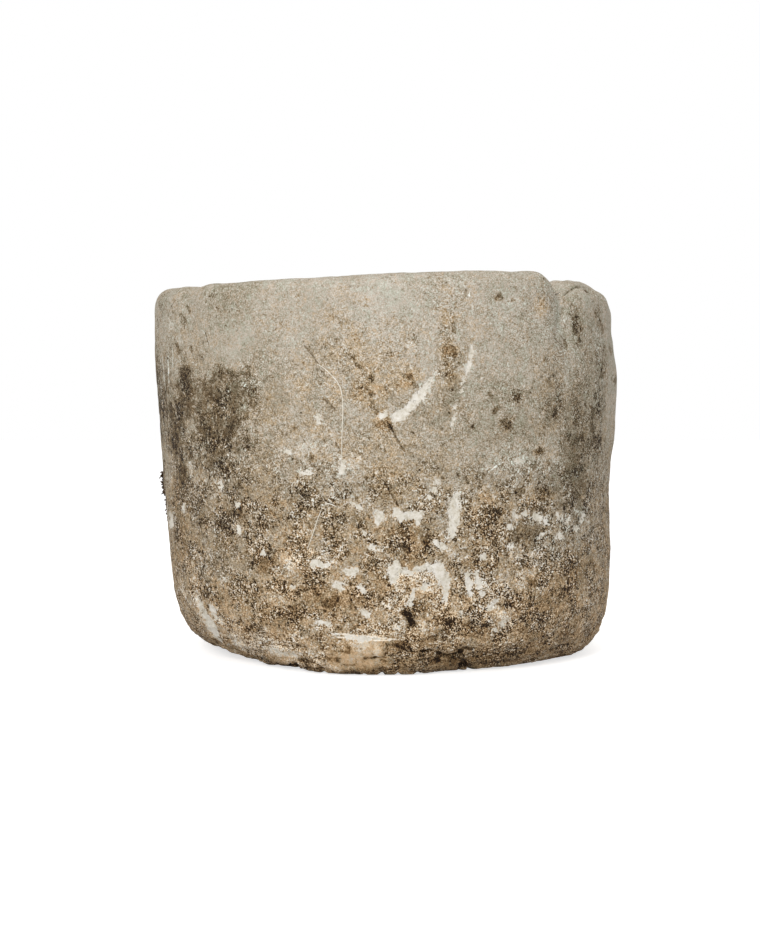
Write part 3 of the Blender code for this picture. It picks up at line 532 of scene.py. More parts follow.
# Thin dark cuts and cracks, and one painted shade line along a crevice: strokes of (x, y, half width in mm).
# Close neighbours run opposite ways
CRACKS_AND_CREVICE_SHADE = {
    "upper_crack": ((305, 346, 0.7), (311, 353, 0.8), (318, 364, 0.6)),
    "short_cut_a": ((322, 397, 0.6), (335, 409, 0.7)),
    "long_cut": ((390, 424, 0.7), (396, 438, 0.9), (406, 453, 0.6)),
    "short_cut_b": ((383, 480, 0.6), (391, 493, 0.9), (399, 507, 0.7)),
    "short_cut_c": ((335, 441, 0.5), (341, 452, 0.6)),
    # Painted shade along the crevice where the nearer lobe of the rim hides the one behind
    "lobe_crevice_shade": ((565, 295.5, 0.3), (570, 292, 0.5), (578, 289.6, 0.5), (588, 289, 0.3)),
    "rim_line_a": ((176, 299, 0.1), (171, 306, 0.3), (168, 314, 0.1)),
    "rim_line_b": ((182, 303, 0.1), (186, 296, 0.3)),
    "rim_line_c": ((164, 298, 0.1), (168, 292, 0.3)),
    "rim_line_d": ((205, 333, 0.4), (209, 346, 0.5)),
    "foot_scrape_edge": ((214, 621, 0.3), (220, 634, 0.5), (226, 645, 0.3)),
    "wash_edge": ((368, 660, 0.3), (377, 659, 0.7), (385, 656.5, 0.5)),
}

# Thin pale scratches
SCRATCHES = {
    "base_scrape": ((331, 633.5, 0.6), (348, 635.3, 1.3), (372, 637.2, 1.0), (402, 640, 0.4)),
    "base_scrape_low": ((391, 641.2, 0.3), (372, 640.4, 0.8), (356, 639.4, 0.9), (338, 637.8, 0.4)),
    "left_streak_a": ((163, 356, 0.5), (164.5, 378, 1.4), (166, 393, 0.6)),
    "left_streak_b": ((169, 388, 0.5), (169, 372, 1.4), (168, 356, 0.6)),
    "left_streak_c": ((172, 345, 0.4), (173, 355, 0.8), (173, 368, 0.4)),
    "high_fleck": ((469.5, 289, 0.4), (469.5, 296, 0.5)),
    "rim_left_streak": ((203, 331, 0.3), (206, 340, 0.4)),
    "foot_streak_a": ((196, 596, 0.4), (205, 612, 0.8), (212, 628, 0.4)),
    "foot_streak_b": ((187, 600, 0.3), (180, 586, 0.7), (177, 574, 0.3)),
    "bow_line": ((424, 508, 0.3), (431, 503, 0.5), (436, 499, 0.3)),
    "slab_line": ((488, 472, 0.3), (496, 466, 0.6), (503, 462, 0.3)),
}

# Where the stone is worn in: how many mm deep they go, how dark the painted shade in them is, and strokes of
# (x, y, half width in mm)
Groove = namedtuple("Groove", "depth dark route")
GROOVES = {
    "rim_crevice": Groove(3.6, 0.1, ((565, 295, 1.2), (574, 290.6, 1.6), (587, 289.5, 1.0))),
    "rim_hole": Groove(3.0, 1.0, ((586, 294.5, 1.0), (589, 294, 1.0))),
    "notch_groove": Groove(1.4, 0.0, ((563, 300, 2.4), (560, 320, 3.4), (556, 340, 2.0))),
    "left_crease": Groove(1.4, 0.3, ((186, 292, 2.0), (176, 306, 1.6), (168, 322, 1.2))),
    # The ledge's dark line is a painted shadow under the overhanging layer above it
    "ledge": Groove(5.0, 0.9, ((367, 660, 0.5), (376, 658.5, 0.7), (385, 656, 0.8), (387, 651.5, 0.7),
                               (393, 650, 0.9), (407, 651, 1.2), (420, 651, 1.0), (436, 652, 1.3),
                               (446, 656.5, 1.9), (455, 655.5, 1.7), (462, 652, 1.6), (469, 648, 1.0))),
    "ledge_shelf": Groove(-2.0, 0.0, ((410, 642, 3.0), (430, 644, 3.4), (448, 646, 3.4), (466, 641, 2.0))),
    "ledge_under": Groove(2.5, 0.8, ((350, 668, 0.5), (372, 667, 0.7), (395, 664.5, 0.9), (420, 661, 0.9),
                                     (440, 660, 1.0))),
    "ledge_right": Groove(2.0, 0.5, ((476, 660, 0.8), (500, 657, 1.0), (520, 654, 0.8))),
    "ledge_low": Groove(2.4, 0.9, ((342, 673.5, 0.6), (352, 673.5, 0.9), (360, 674, 0.6))),
    "ledge_high": Groove(2.0, 0.5, ((424, 640, 0.8), (440, 636, 1.2), (452, 630, 0.8))),
    "black_hollow": Groove(6.0, 1.2, ((459, 664.5, 1.2), (464, 665.5, 2.2), (468, 668, 1.6))),
    "foot_hole": Groove(5.0, 1.2, ((286, 667, 0.7), (290, 664.5, 1.4), (296, 664.5, 1.4), (303, 669, 0.8))),
    "foot_hole_b": Groove(4.0, 1.2, ((299, 659.5, 0.9), (304, 661, 1.3), (310, 662.5, 0.9))),
    "foot_split": Groove(3.0, 1.0, ((307, 668, 0.6), (320, 669, 0.9), (330, 670, 1.0), (334, 672, 0.5))),
    "scrape_edge": Groove(1.8, 0.7, ((333, 635, 0.4), (341, 640, 0.7), (348, 645, 0.7), (352, 652, 0.4))),
    "scrape_arc": Groove(1.0, 0.4, ((352, 650, 0.3), (360, 646, 0.5), (369, 641, 0.5), (374, 643, 0.4))),
    "scrape_arc_low": Groove(1.0, 0.4, ((356, 659, 0.3), (362, 655, 0.5), (368, 658, 0.4))),
    "foot_ring": Groove(1.4, 0.6, ((247, 630, 0.9), (251, 626.5, 1.4), (256, 627, 1.4), (257, 631, 0.8))),
    "left_notch": Groove(2.0, 0.4, ((229, 645, 0.9), (237, 650, 1.4))),
    "ledge_pocket": Groove(3.4, 0.7, ((404, 613, 3.0), (409, 616, 3.8), (413, 624, 3.4))),
    "under_pocket": Groove(3.4, 0.7, ((392, 647, 1.2), (398, 646, 2.0), (404, 649, 2.0))),
    "round_pocket": Groove(1.8, 0.5, ((448, 623, 3.2), (452, 626, 3.2))),
}

# The rootlets' routes over the wall, of (x, y)
ROOTLETS = {
    "rootlet_long": ((317, 364), (324, 368), (331, 374.5), (337, 381), (341, 389), (342.5, 398), (343, 412),
                     (342, 437), (341.5, 462)),
    "rootlet_forked": ((321, 511), (318, 518), (315.5, 526), (313, 534), (310, 542), (307.5, 549)),
    "rootlet_short": ((325, 504), (330, 503.5), (337, 507)),
}
ROOTLET_HALF = 0.42 * MM
ROOTLET_STEP = 2 * MM

# The tufts of dried moss: how many leaflets, and the longest in mm
MOSS_SEED = 5
LEAFLET_HALVES = (0.55, 1.0)
Tuft = namedtuple("Tuft", "leaflets longest")
TUFTS = {
    "moss_tuft_upper": Tuft(60, 4.6),
    "moss_tuft_middle": Tuft(18, 2.0),
    "moss_tuft_lower": Tuft(26, 2.6),
}

# The studio's floor, even light and lamps
FLOOR_HALF = 12.0
FLOOR_GREY = 0.82
FLOOR_GLOW = 0.66  # what the camera sees added to the floor, so that it comes out nearly white
WORLD_STRENGTH = 0.62
LAMP_AIM = Vector((0, 0, 0.2))
Lamp = namedtuple("Lamp", "place size power")
LAMPS = {
    "front_lamp": Lamp((-0.8, -2.8, 1.5), 1.0, 42),
    "top_lamp": Lamp((0.2, -0.2, 2.6), 1.8, 10),
}


def eased(low, high, values):
    """Values eased from 0 at low to 1 at high."""
    share = np.clip((values - low) / (high - low), 0.0, 1.0)
    return share * share * (3 - 2 * share)


def by_height(stops, heights):
    """A quantity that follows stated heights, at other heights."""
    return np.interp(heights, sorted(stops), [stops[h] for h in sorted(stops)])


def mesh_of(shape, name):
    """Turns a shape into a mesh, and lets the shape go."""
    mesh = bpy.data.meshes.new(name)
    shape.to_mesh(mesh)
    shape.free()
    return mesh


def put_in_scene(name, data):
    made = bpy.data.objects.new(name, data)
    bpy.context.scene.collection.objects.link(made)
    return made


# Finding places on the stone

FORWARD = np.array((0.0, math.cos(CAMERA_DOWN), -math.sin(CAMERA_DOWN)))
UPWARD = np.array((0.0, math.sin(CAMERA_DOWN), math.cos(CAMERA_DOWN)))


def sight_line(x, y):
    """The direction in which the camera sees a place of the photograph."""
    right = (x - PHOTO_WIDE / 2) / FOCAL_PIXELS
    up = (PHOTO_TALL / 2 - y) / FOCAL_PIXELS
    return (Vector((right, 0.0, 0.0)) + Vector(FORWARD) + Vector(UPWARD) * up).normalized()


class Surface:
    """A mesh as something to find places on."""

    def __init__(self, mesh):
        corners = [v.co.copy() for v in mesh.vertices]
        self.tree = BVHTree.FromPolygons(corners, [tuple(p.vertices) for p in mesh.polygons])

    def seen(self, x, y):
        """(place, outward normal) where the camera sees (x, y), or nearest to that line of sight."""
        sight = sight_line(x, y)
        place, normal, _, _ = self.tree.ray_cast(CAMERA_PLACE, sight)
        if place is None:
            abreast = CAMERA_PLACE + sight * -CAMERA_PLACE.y
            place, normal, _, _ = self.tree.find_nearest(abreast)
        return place, normal

    def on_wall(self, bearing, height):
        """(place, outward normal) on the outside, at a bearing in degrees and a height."""
        turn = math.radians(bearing)
        outward = Vector((math.cos(turn), math.sin(turn), 0.0))
        place, normal, _, _ = self.tree.ray_cast(outward + Vector((0, 0, height)), -outward)
        return place, normal


# The fine surface

Row = namedtuple("Row", "radius height out_radius out_height")


def arc_rows(radius, height, rounding, start, end, step, inward=False):
    """Rows round an arc of the section, from one angle in degrees to another."""
    count = max(2, math.ceil(math.radians(abs(end - start)) * rounding / step))
    rows = []
    for i in range(count + 1):
        turn = math.radians(start + (end - start) * i / count)
        c, s = math.cos(turn), math.sin(turn)
        sign = -1 if inward else 1
        rows.append(Row(radius + rounding * c, height + rounding * s, sign * c, sign * s))
    return rows


def rows_between(start, end, step):
    """Rows along a straight run of the section, without its ends."""
    count = max(1, math.ceil(math.dist(start[:2], end[:2]) / step))
    shares = [i / count for i in range(1, count)]
    return [Row(*(a + (b - a) * s for a, b in zip(start, end))) for s in shares]


def outside_rows():
    """The section from the rim's crest down the outside to the middle of the base."""
    crest = [Row(RIM_CREST, RIM_HEIGHT, 0.0, 1.0)]
    rim = arc_rows(RIM_OUTSIDE - RIM_OUTER_ROUNDING, RIM_HEIGHT - RIM_OUTER_ROUNDING, RIM_OUTER_ROUNDING,
                   90, 0, OUTSIDE_STEP)
    foot = arc_rows(WALL_FOOT - FOOT_ROUNDING, FOOT_ROUNDING, FOOT_ROUNDING, 0, -90, OUTSIDE_STEP)
    middle = [Row(0.0, 0.0, 0.0, -1.0)]
    rows = crest + rows_between(crest[-1], rim[0], OUTSIDE_STEP) + rim
    rows += rows_between(rim[-1], foot[0], OUTSIDE_STEP) + foot
    return rows + rows_between(foot[-1], middle[0], BASE_STEP) + middle


def basin_rows():
    """The section from the rim's crest down into the basin, to the middle of its floor."""
    rim = arc_rows(BASIN_TOP + RIM_INNER_ROUNDING, RIM_HEIGHT - RIM_INNER_ROUNDING, RIM_INNER_ROUNDING,
                   90, 180, BASIN_STEP / 2)
    corner = arc_rows(BASIN_FOOT - BASIN_ROUNDING, FLOOR_HEIGHT + BASIN_ROUNDING, BASIN_ROUNDING,
                      0, -90, BASIN_STEP, inward=True)
    middle = [Row(0.0, FLOOR_HEIGHT, 0.0, 1.0)]
    rows = rim + rows_between(rim[-1], corner[0], BASIN_STEP) + corner
    return rows + rows_between(corner[-1], middle[0], BASIN_STEP) + middle


def lay_section(shape, surface, rows, columns, basin_layer, in_basin):
    """Lays a grid over a stretch of the frame's stone: a row for each of the section's, all the way round."""
    count = len(rows) - 1
    grid = bmesh.ops.create_grid(shape, x_segments=columns, y_segments=count, size=1.0)["verts"]
    for vertex in grid:
        share = (vertex.co.x + 1) / 2
        row = rows[round((vertex.co.y + 1) / 2 * count)]
        from_front = math.tau * (share % 1.0) - math.pi
        turn = from_front - FRONT_CROWDING * math.sin(from_front) - math.pi / 2
        level = Vector((math.cos(turn), math.sin(turn), 0.0))
        outward = level * row.out_radius + Vector((0, 0, row.out_height))
        guess = level * row.radius + Vector((0, 0, row.height))
        place, _, _, _ = surface.tree.ray_cast(guess + outward * REACH, -outward, 2 * REACH)
        if place is None:
            place, _, _, _ = surface.tree.find_nearest(guess)
        vertex.co = place
        vertex[basin_layer] = in_basin


def make_stone_mesh(surface):
    """A fine, even mesh laid over the frame's stone. It remembers which vertices are the basin's."""
    shape = bmesh.new()
    basin_layer = shape.verts.layers.int.new("basin")
    lay_section(shape, surface, outside_rows(), OUTSIDE_COLUMNS, basin_layer, 0)
    lay_section(shape, surface, basin_rows(), BASIN_COLUMNS, basin_layer, 1)
    bmesh.ops.remove_doubles(shape, verts=shape.verts, dist=0.01 * MM)
    bmesh.ops.bridge_loops(shape, edges=[e for e in shape.edges if e.is_boundary])
    for _ in range(EASING_ROUNDS):
        bmesh.ops.smooth_vert(shape, verts=shape.verts, factor=EASING_FACTOR,
                              use_axis_x=True, use_axis_y=True, use_axis_z=True)
    bmesh.ops.triangulate(shape, faces=[f for f in shape.faces if len(f.verts) > 4])
    bmesh.ops.recalc_face_normals(shape, faces=shape.faces)
    return mesh_of(shape, "weathered_trough")


# What is drawn and worn into the surface

class Canvas:
    """Every point of the fine surface, for working out what is drawn and worn there."""

    def __init__(self, mesh):
        count = len(mesh.vertices)
        self.mesh = mesh
        self.points = np.zeros(count * 3)
        mesh.vertices.foreach_get("co", self.points)
        self.points = self.points.reshape(-1, 3)
        self.normals = np.zeros(count * 3)
        mesh.vertex_normals.foreach_get("vector", self.normals)
        self.normals = self.normals.reshape(-1, 3)
        sight = self.points - np.array(CAMERA_PLACE)
        depth = sight @ FORWARD
        self.pixel = depth / FOCAL_PIXELS
        self.across = PHOTO_WIDE / 2 + sight[:, 0] / self.pixel
        self.down = PHOTO_TALL / 2 - sight @ UPWARD / self.pixel
        self.facing = -np.einsum("ij,ij->i", sight, self.normals) / np.linalg.norm(sight, axis=1)
        basin = np.zeros(count, np.int32)
        mesh.attributes["basin"].data.foreach_get("value", basin)
        self.height = self.points[:, 2]
        self.radius = np.hypot(self.points[:, 0], self.points[:, 1])
        self.bearing = np.degrees(np.arctan2(self.points[:, 1], self.points[:, 0])) % 360
        self.basin = basin * 1.0
        # Where the outside faces down, which paint() darkens as painted shade
        self.under = eased(-0.6, -0.95, self.normals[:, 2]) * (1 - self.basin)
        self.vectors = [Vector(p) for p in self.points]
        self.uneven = self.lumps(*PATCH_EDGES)

    def lumps(self, span, octaves, seed, flat=1.0):
        """Noise between about -1 and 1 at each point, with lumps about span across and flat times flatter."""
        offset = Vector((seed * 7.31, seed * 3.17, seed * 5.73))
        shrink = Vector((1, 1, flat)) / span
        return np.array([noise.fractal(p * shrink + offset, 1.0, 2.0, octaves) for p in self.vectors])

    def teeth(self):
        """How far the bottom edge is broken away upwards at each point, in small teeth round the foot."""
        bearings = np.arange(0, 360, TOOTH_STEP)
        ring = [Vector((math.cos(a), math.sin(a), 0)) * TOOTH_RING / TOOTH_SPAN for a in np.radians(bearings)]
        bite = eased(0.04, 0.60, np.array([noise.fractal(p, 1.0, 2.0, 4) for p in ring])) * TOOTH_DEPTH
        edge = eased(22 * MM, 2 * MM, self.height) * eased(0.140, 0.155, self.radius) * (1 - self.basin)
        return np.interp(self.bearing, bearings, bite, period=360) * edge

    def fading(self, right, up, patch):
        """1 in a patch's middle, falling off to its half sizes, for points that lie right and up of it."""
        c, s = math.cos(math.radians(patch.turn)), math.sin(math.radians(patch.turn))
        along, across = right * c + up * s, up * c - right * s
        reach = (along / (patch.across * MM)) ** 2 + (across / (patch.tall * MM)) ** 2
        reach *= np.exp(0.9 * self.uneven)
        return np.exp(-reach ** 1.4) * (1 - self.basin)

    def spot(self, place, normal, patch):
        """A soft, uneven spot about a place: 1 in its middle, falling off to its half sizes."""
        side = Vector((0, 0, 1)).cross(normal).normalized()
        rise = normal.cross(side)
        away = self.points - np.array(place)
        same_side = eased(0.0, 0.4, self.normals @ np.array(normal))
        return self.fading(away @ np.array(side), away @ np.array(rise), patch) * same_side

    def seen_spot(self, patch):
        """A soft, uneven spot as drawn on the photograph: 1 in its middle, falling off to its half sizes."""
        right, up = (self.across - patch.x) * self.pixel, (patch.y - self.down) * self.pixel
        return self.fading(right, up, patch) * eased(-0.06, 0.02, self.facing)

    def inside_stroke(self, nodes):
        """How far inside a stroke each point lies, and below 0 outside it. A node is (place, half width)."""
        depth = np.full(len(self.points), -1.0)
        for (start, thick), (end, thin) in zip(nodes, nodes[1:] or nodes):
            run = np.array(end - start)
            length = run @ run
            away = self.points - np.array(start)
            share = np.clip(away @ run / length, 0, 1) if length > 0 else np.zeros(len(away))
            gap = np.linalg.norm(away - share[:, None] * run, axis=1)
            depth = np.maximum(depth, thick + (thin - thick) * share - gap)
        return depth

    def inside_drawn(self, route):
        """How far inside a stroke drawn on the photograph each point lies, across the line of sight."""
        depth = np.full(len(self.points), -1.0)
        for (x, y, thick), (end_x, end_y, thin) in zip(route, route[1:] or route):
            length = (end_x - x) ** 2 + (end_y - y) ** 2
            right, low = self.across - x, self.down - y
            share = np.clip((right * (end_x - x) + low * (end_y - y)) / max(length, 0.01), 0, 1)
            gap = np.hypot(right - share * (end_x - x), low - share * (end_y - y)) * self.pixel
            depth = np.maximum(depth, (thick + (thin - thick) * share) * MM - gap)
        return depth - eased(0.02, -0.10, self.facing) * 0.05 - self.basin

    def thin_lines(self, lines):
        """(how far to one side of the nearest line each point lies, how wide that line is there), both in mm.

        Both change evenly over the surface, so that a line finer than the mesh still comes out whole.
        """
        nearest = np.full(len(self.points), 4.0 * MM)
        side, half = np.zeros(len(nearest)), np.full(len(nearest), -6.0)
        for nodes in lines:
            for (start, thick), (end, thin) in zip(nodes, nodes[1:]):
                run = np.array(end - start)
                length = np.linalg.norm(run)
                away = self.points - np.array(start)
                share = away @ run / length ** 2
                along = np.clip(share, 0, 1)
                gap = np.linalg.norm(away - along[:, None] * run, axis=1)
                offset = np.einsum("ij,ij->i", np.cross(run / length, away), self.normals)
                width = thick + (thin - thick) * along - np.abs(share - along) * length * 0.7
                nearer = gap < nearest
                nearest = np.where(nearer, gap, nearest)
                side = np.where(nearer, offset / MM, side)
                half = np.where(nearer, width / MM, half)
        return side, half

    def keep(self, name, values):
        """Stores one value a point, under a name that the material reads."""
        made = self.mesh.attributes.new(name, "FLOAT", "POINT")
        made.data.foreach_set("value", np.asarray(values, np.float32))


def seen_stroke(surface, route):
    return [(surface.seen(x, y)[0], half * MM) for x, y, half in route]


def scattered_strokes(surface, rng, marks):
    """Crooked strokes scattered over the sides and the back, in clusters and of many sizes."""
    smallest, largest = marks.halves
    strokes = []
    while len(strokes) < marks.scattered:
        middle, level = rng.uniform(*SCATTER_BEARINGS), rng.triangular(*marks.heights)
        for _ in range(rng.choice(CLUSTER_SIZES)):
            bearing = rng.gauss(middle, CLUSTER_DEGREES)
            height = max(SCATTER_LOWEST, rng.gauss(level, CLUSTER_HEIGHT))
            half = smallest + (largest - smallest) * rng.random() ** 2
            turn = rng.uniform(0, math.tau)
            nodes = []
            for _ in range(rng.choice(STROKE_POINTS)):
                nodes.append((surface.on_wall(bearing, min(height, SCATTER_HIGHEST))[0], half * MM))
                turn += rng.uniform(-0.7, 0.7)
                step = rng.uniform(1.0, 2.6) * half
                bearing += math.degrees(step * MM * math.cos(turn) / WALL_FOOT)
                height = max(SCATTER_LOWEST, height + step * MM * math.sin(turn))
                half *= rng.uniform(0.55, 1.15)
            strokes.append(nodes)
    return strokes


def deepest(canvas, drawn, scattered):
    """How far inside the nearest stroke each point lies, in mm, kept between -6 and 6."""
    depth = np.full(len(canvas.points), -1.0)
    for route in drawn.values():
        depth = np.maximum(depth, canvas.inside_drawn(route))
    for nodes in scattered:
        depth = np.maximum(depth, canvas.inside_stroke(nodes))
    return np.clip(depth / MM, -6, 6)


# The stone's tone, contrast and warmth at heights in metres. Below 7 cm the tone rises again: painted light
# that lifts the shade on the curving foot
TONE = {0.0: 0.57, 0.03: 0.585, 0.07: 0.56, 0.12: 0.565, 0.19: 0.60, 0.26: 0.655, 0.34: 0.675, 0.38: 0.675}
CONTRAST = {0.0: 0.098, 0.03: 0.108, 0.15: 0.104, 0.19: 0.072, 0.24: 0.050, 0.30: 0.038, 0.38: 0.036}
WARMTH = {0.0: 1.50, 0.04: 1.30, 0.08: 1.10, 0.15: 0.80, 0.19: 0.36, 0.24: 0.10, 0.30: -0.02, 0.38: -0.12}


def paint(canvas, surface):
    """The stone's tone, contrast and warmth, and the marks drawn on it."""
    height = canvas.height
    broad = canvas.lumps(*BROAD_TONE)
    middling = canvas.lumps(*MIDDLING_TONE)
    tint = canvas.lumps(*TINT)
    wander = height + broad * 0.030 + middling * 0.010
    tone = by_height(TONE, wander) + middling * 0.022
    contrast = by_height(CONTRAST, wander)
    warmth = by_height(WARMTH, wander) + tint * 0.22
    stand = np.zeros(len(height))

    front = eased(*FRONT_LEFT, canvas.bearing) * eased(*FRONT_RIGHT, canvas.bearing) * (1 - canvas.basin)
    away = (1 - front) * (1 - canvas.basin)
    lichen = eased(0.08, 0.60, canvas.lumps(*BACK_LICHEN) + middling * 0.4)
    lichen *= eased(0.02, 0.10, height) * away * 0.55
    tone += canvas.lumps(*BACK_TONE) * away * 0.025
    warmth += canvas.lumps(*BACK_WARMTH) * away * 0.30
    tone -= lichen * 0.04
    contrast += lichen * 0.02

    spots = [(patch, canvas.spot(*surface.seen(patch.x, patch.y), patch)) for patch in FRONT_PATCHES.values()]
    spots += [(patch, canvas.seen_spot(patch)) for patch in FOOT_PATCHES.values()]
    for patch, spot in spots:
        tone += spot * patch.tone
        contrast += spot * patch.contrast
        warmth += spot * patch.warmth
        stand += spot * patch.out * MM
        lichen += spot * patch.lichen
    canvas.keep("lichen", np.clip(lichen, 0, 1.2))

    # The basin is darker, warmer and more mottled lower down
    low_in_basin = canvas.basin * eased(0.33, 0.20, wander)
    tone -= low_in_basin * 0.16
    contrast = contrast * (1 - canvas.basin) + canvas.basin * (0.060 + 0.02 * low_in_basin)
    warmth = warmth * (1 - canvas.basin * 0.7) + low_in_basin * 0.25
    # Painted shade: the outside is darker where it faces down
    tone -= canvas.under * 0.06

    rng = random.Random(SCATTER_SEED)
    for name, marks in MARKS.items():
        canvas.keep(name, deepest(canvas, marks.drawn, scattered_strokes(surface, rng, marks)))
    return tone, contrast, warmth, stand


def wear(canvas, surface, contrast):
    """How far each point moves out along its normal, how deep it is cut, and how dark the painted shade in
    its hollows is.
    """
    rng = random.Random(PIT_SEED)
    outside = 1 - canvas.basin
    crust = eased(0.05, 0.10, contrast)
    move = canvas.lumps(*SWELLS) * SWELL_HEIGHT
    move += canvas.lumps(*DIMPLES) * (0.35 + 0.25 * crust) * MM
    low = eased(0.09, 0.04, canvas.height)
    move += canvas.lumps(*CRUMBS) * (0.15 + 0.5 * crust + 0.45 * low) * MM
    move -= canvas.basin * np.abs(canvas.lumps(*TOOLING)) * TOOLING_DEPTH
    foot = eased(0.050, 0.020, canvas.height) * outside
    layers = canvas.lumps(*BEDDING)
    move += layers * foot * BEDDING_HEIGHT
    # Painted shade in the hollows: between the bedding layers near the ground, in the pits and in the grooves
    hollow_shade = eased(0.15, 0.5, -layers) * foot * 0.5

    for _ in range(PIT_COUNT):
        bearing, height = rng.uniform(0, 360), rng.triangular(*PIT_HEIGHTS)
        place, _ = surface.on_wall(bearing, height)
        half = rng.triangular(*PIT_HALVES) * MM
        gap = np.linalg.norm(canvas.points - np.array(place), axis=1) / half
        dent = np.exp(-gap * gap * 1.4) * outside
        move -= dent * half * PIT_DEPTH
        hollow_shade = np.maximum(hollow_shade, dent * 0.7)

    cut = np.zeros(len(move))
    wobble = canvas.lumps(*GROOVE_EDGES) * GROOVE_WOBBLE
    for groove in GROOVES.values():
        depth = eased(-0.9 * MM, 1.5 * MM, canvas.inside_drawn(groove.route) + wobble)
        cut += depth * groove.depth * MM
        hollow_shade = np.maximum(hollow_shade, depth * groove.dark)
    return move, cut, hollow_shade


def laid_on_ground(points):
    """The points with none below the ground."""
    points[:, 2] = np.maximum(points[:, 2], 0.0)
    return points


def make_stone(surface, limestone):
    mesh = make_stone_mesh(surface)
    canvas = Canvas(mesh)
    tone, contrast, warmth, stand = paint(canvas, surface)
    move, cut, hollow_shade = wear(canvas, surface, contrast)
    fresh = np.zeros(len(move), np.float32)
    mesh.attributes["fresh"].data.foreach_get("value", fresh)
    move -= eased(-0.8, 1.6, fresh) * CHIP_DEPTH
    move += stand
    level = eased(0.0, 6 * MM, canvas.height) + canvas.basin
    moved = canvas.points + canvas.normals * (move * np.clip(level, 0, 1) - cut)[:, None]
    near_rim = eased(*RIM_WAVES_FROM, canvas.height)
    near_foot = eased(*FOOT_WAVES_FROM, canvas.height) * eased(*FOOT_WAVES_INSIDE, canvas.radius)
    for waves, share in ((RIM_WAVES, near_rim), (FOOT_WAVES, near_foot)):
        for bearing, half, rise in waves.values():
            off = (canvas.bearing - bearing + 180) % 360 - 180
            moved[:, 2] += np.exp(-(off / half) ** 2) * share * rise * MM
    moved[:, 2] += canvas.teeth()
    mesh.vertices.foreach_set("co", laid_on_ground(moved).ravel())
    canvas.keep("tone", np.clip(tone, 0.12, 0.9))
    canvas.keep("contrast", np.clip(contrast, 0.02, 0.2))
    canvas.keep("warmth", np.clip(warmth, -0.8, 1.4))
    canvas.keep("hollow_shade", hollow_shade)
    for name, lines in (("crack_and_crevice_shade", CRACKS_AND_CREVICE_SHADE), ("scratch", SCRATCHES)):
        side, half = canvas.thin_lines([seen_stroke(surface, route) for route in lines.values()])
        canvas.keep(name + "_side", side)
        canvas.keep(name + "_half", half)
    mesh.attributes.remove(mesh.attributes["basin"])
    mesh.shade_smooth()
    mesh.materials.append(limestone)
    stone = put_in_scene("weathered_trough", mesh)
    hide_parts("trough_body")
    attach(stone, "root")
    return stone


# Materials

class Graph:
    """A node tree, with short ways to add and wire its nodes. Each returns an output socket."""

    def __init__(self, tree):
        self.tree = tree

    def node(self, kind, **settings):
        made = self.tree.nodes.new(kind)
        for name, value in settings.items():
            setattr(made, name, value)
        return made

    def wire(self, value, socket):
        if isinstance(value, bpy.types.NodeSocket):
            self.tree.links.new(value, socket)
        else:
            socket.default_value = value

    def math(self, operation, *values, clamp=False):
        made = self.node("ShaderNodeMath", operation=operation, use_clamp=clamp)
        for value, socket in zip(values, made.inputs):
            self.wire(value, socket)
        return made.outputs[0]

    def times(self, first, second, plus=None):
        """The product of two values, and a third added to it where one is given."""
        if plus is None:
            return self.math("MULTIPLY", first, second)
        return self.math("MULTIPLY_ADD", first, second, plus)

    def layered(self, base, *layers):
        """base, with the product of each (value, share) added in turn."""
        for value, share in layers:
            base = self.times(value, share, plus=base)
        return base

    def plainly_seen(self):
        """1 where the camera sees the surface, straight or in a mirror or through glass, and otherwise 0."""
        rays = self.node("ShaderNodeLightPath").outputs
        indirect = self.math("ADD", rays["Is Glossy Ray"], rays["Is Transmission Ray"])
        return self.math("ADD", rays["Is Camera Ray"], indirect, clamp=True)

    def step(self, value, low, high, top=1.0):
        """Eased from 0 at low to top at high."""
        made = self.node("ShaderNodeMapRange", interpolation_type="SMOOTHSTEP")
        for name, given in (("Value", value), ("From Min", low), ("From Max", high), ("To Max", top)):
            self.wire(given, made.inputs[name])
        return made.outputs["Result"]

    def noise(self, vector, size, detail=2.0, roughness=0.6):
        """Noise about 0, whose lumps are about size metres across."""
        made = self.node("ShaderNodeTexNoise")
        self.wire(vector, made.inputs["Vector"])
        made.inputs["Scale"].default_value = 1 / size
        made.inputs["Detail"].default_value = detail
        made.inputs["Roughness"].default_value = roughness
        return self.math("SUBTRACT", made.outputs["Fac"], 0.5)

    def mix(self, share, first, second, blend="MIX"):
        made = self.node("ShaderNodeMix", data_type="RGBA", blend_type=blend)
        self.wire(share, made.inputs[0])
        self.wire(first, made.inputs[6])
        self.wire(second, made.inputs[7])
        return made.outputs[2]

    def ramp(self, value, stops):
        made = self.node("ShaderNodeValToRGB")
        elements = made.color_ramp.elements
        while len(elements) < len(stops):
            elements.new(0.5)
        for element, (place, colour) in zip(elements, sorted(stops.items())):
            element.position = place
            element.color = (*colour, 1.0)
        self.wire(value, made.inputs["Fac"])
        return made.outputs["Color"]

    def shifted(self, vector, by=(0.31, 0.17, 0.23)):
        """The same coordinates moved away, so that a second pattern doesn't follow the first."""
        made = self.node("ShaderNodeVectorMath", operation="ADD")
        self.wire(vector, made.inputs[0])
        made.inputs[1].default_value = by
        return made.outputs[0]

    def attribute(self, name):
        return self.node("ShaderNodeAttribute", attribute_name=name).outputs["Fac"]

    def coordinates(self):
        return self.node("ShaderNodeTexCoord").outputs["Object"]

    def group(self, tree, **values):
        made = self.node("ShaderNodeGroup", node_tree=tree)
        for name, value in values.items():
            self.wire(value, made.inputs[name])
        return made.outputs


def colour(red, green, blue):
    """A colour written as it looks, 0 to 255, in linear light."""
    def linear(value):
        share = value / 255
        return share / 12.92 if share <= 0.04045 else ((share + 0.055) / 1.055) ** 2.4
    return linear(red), linear(green), linear(blue)


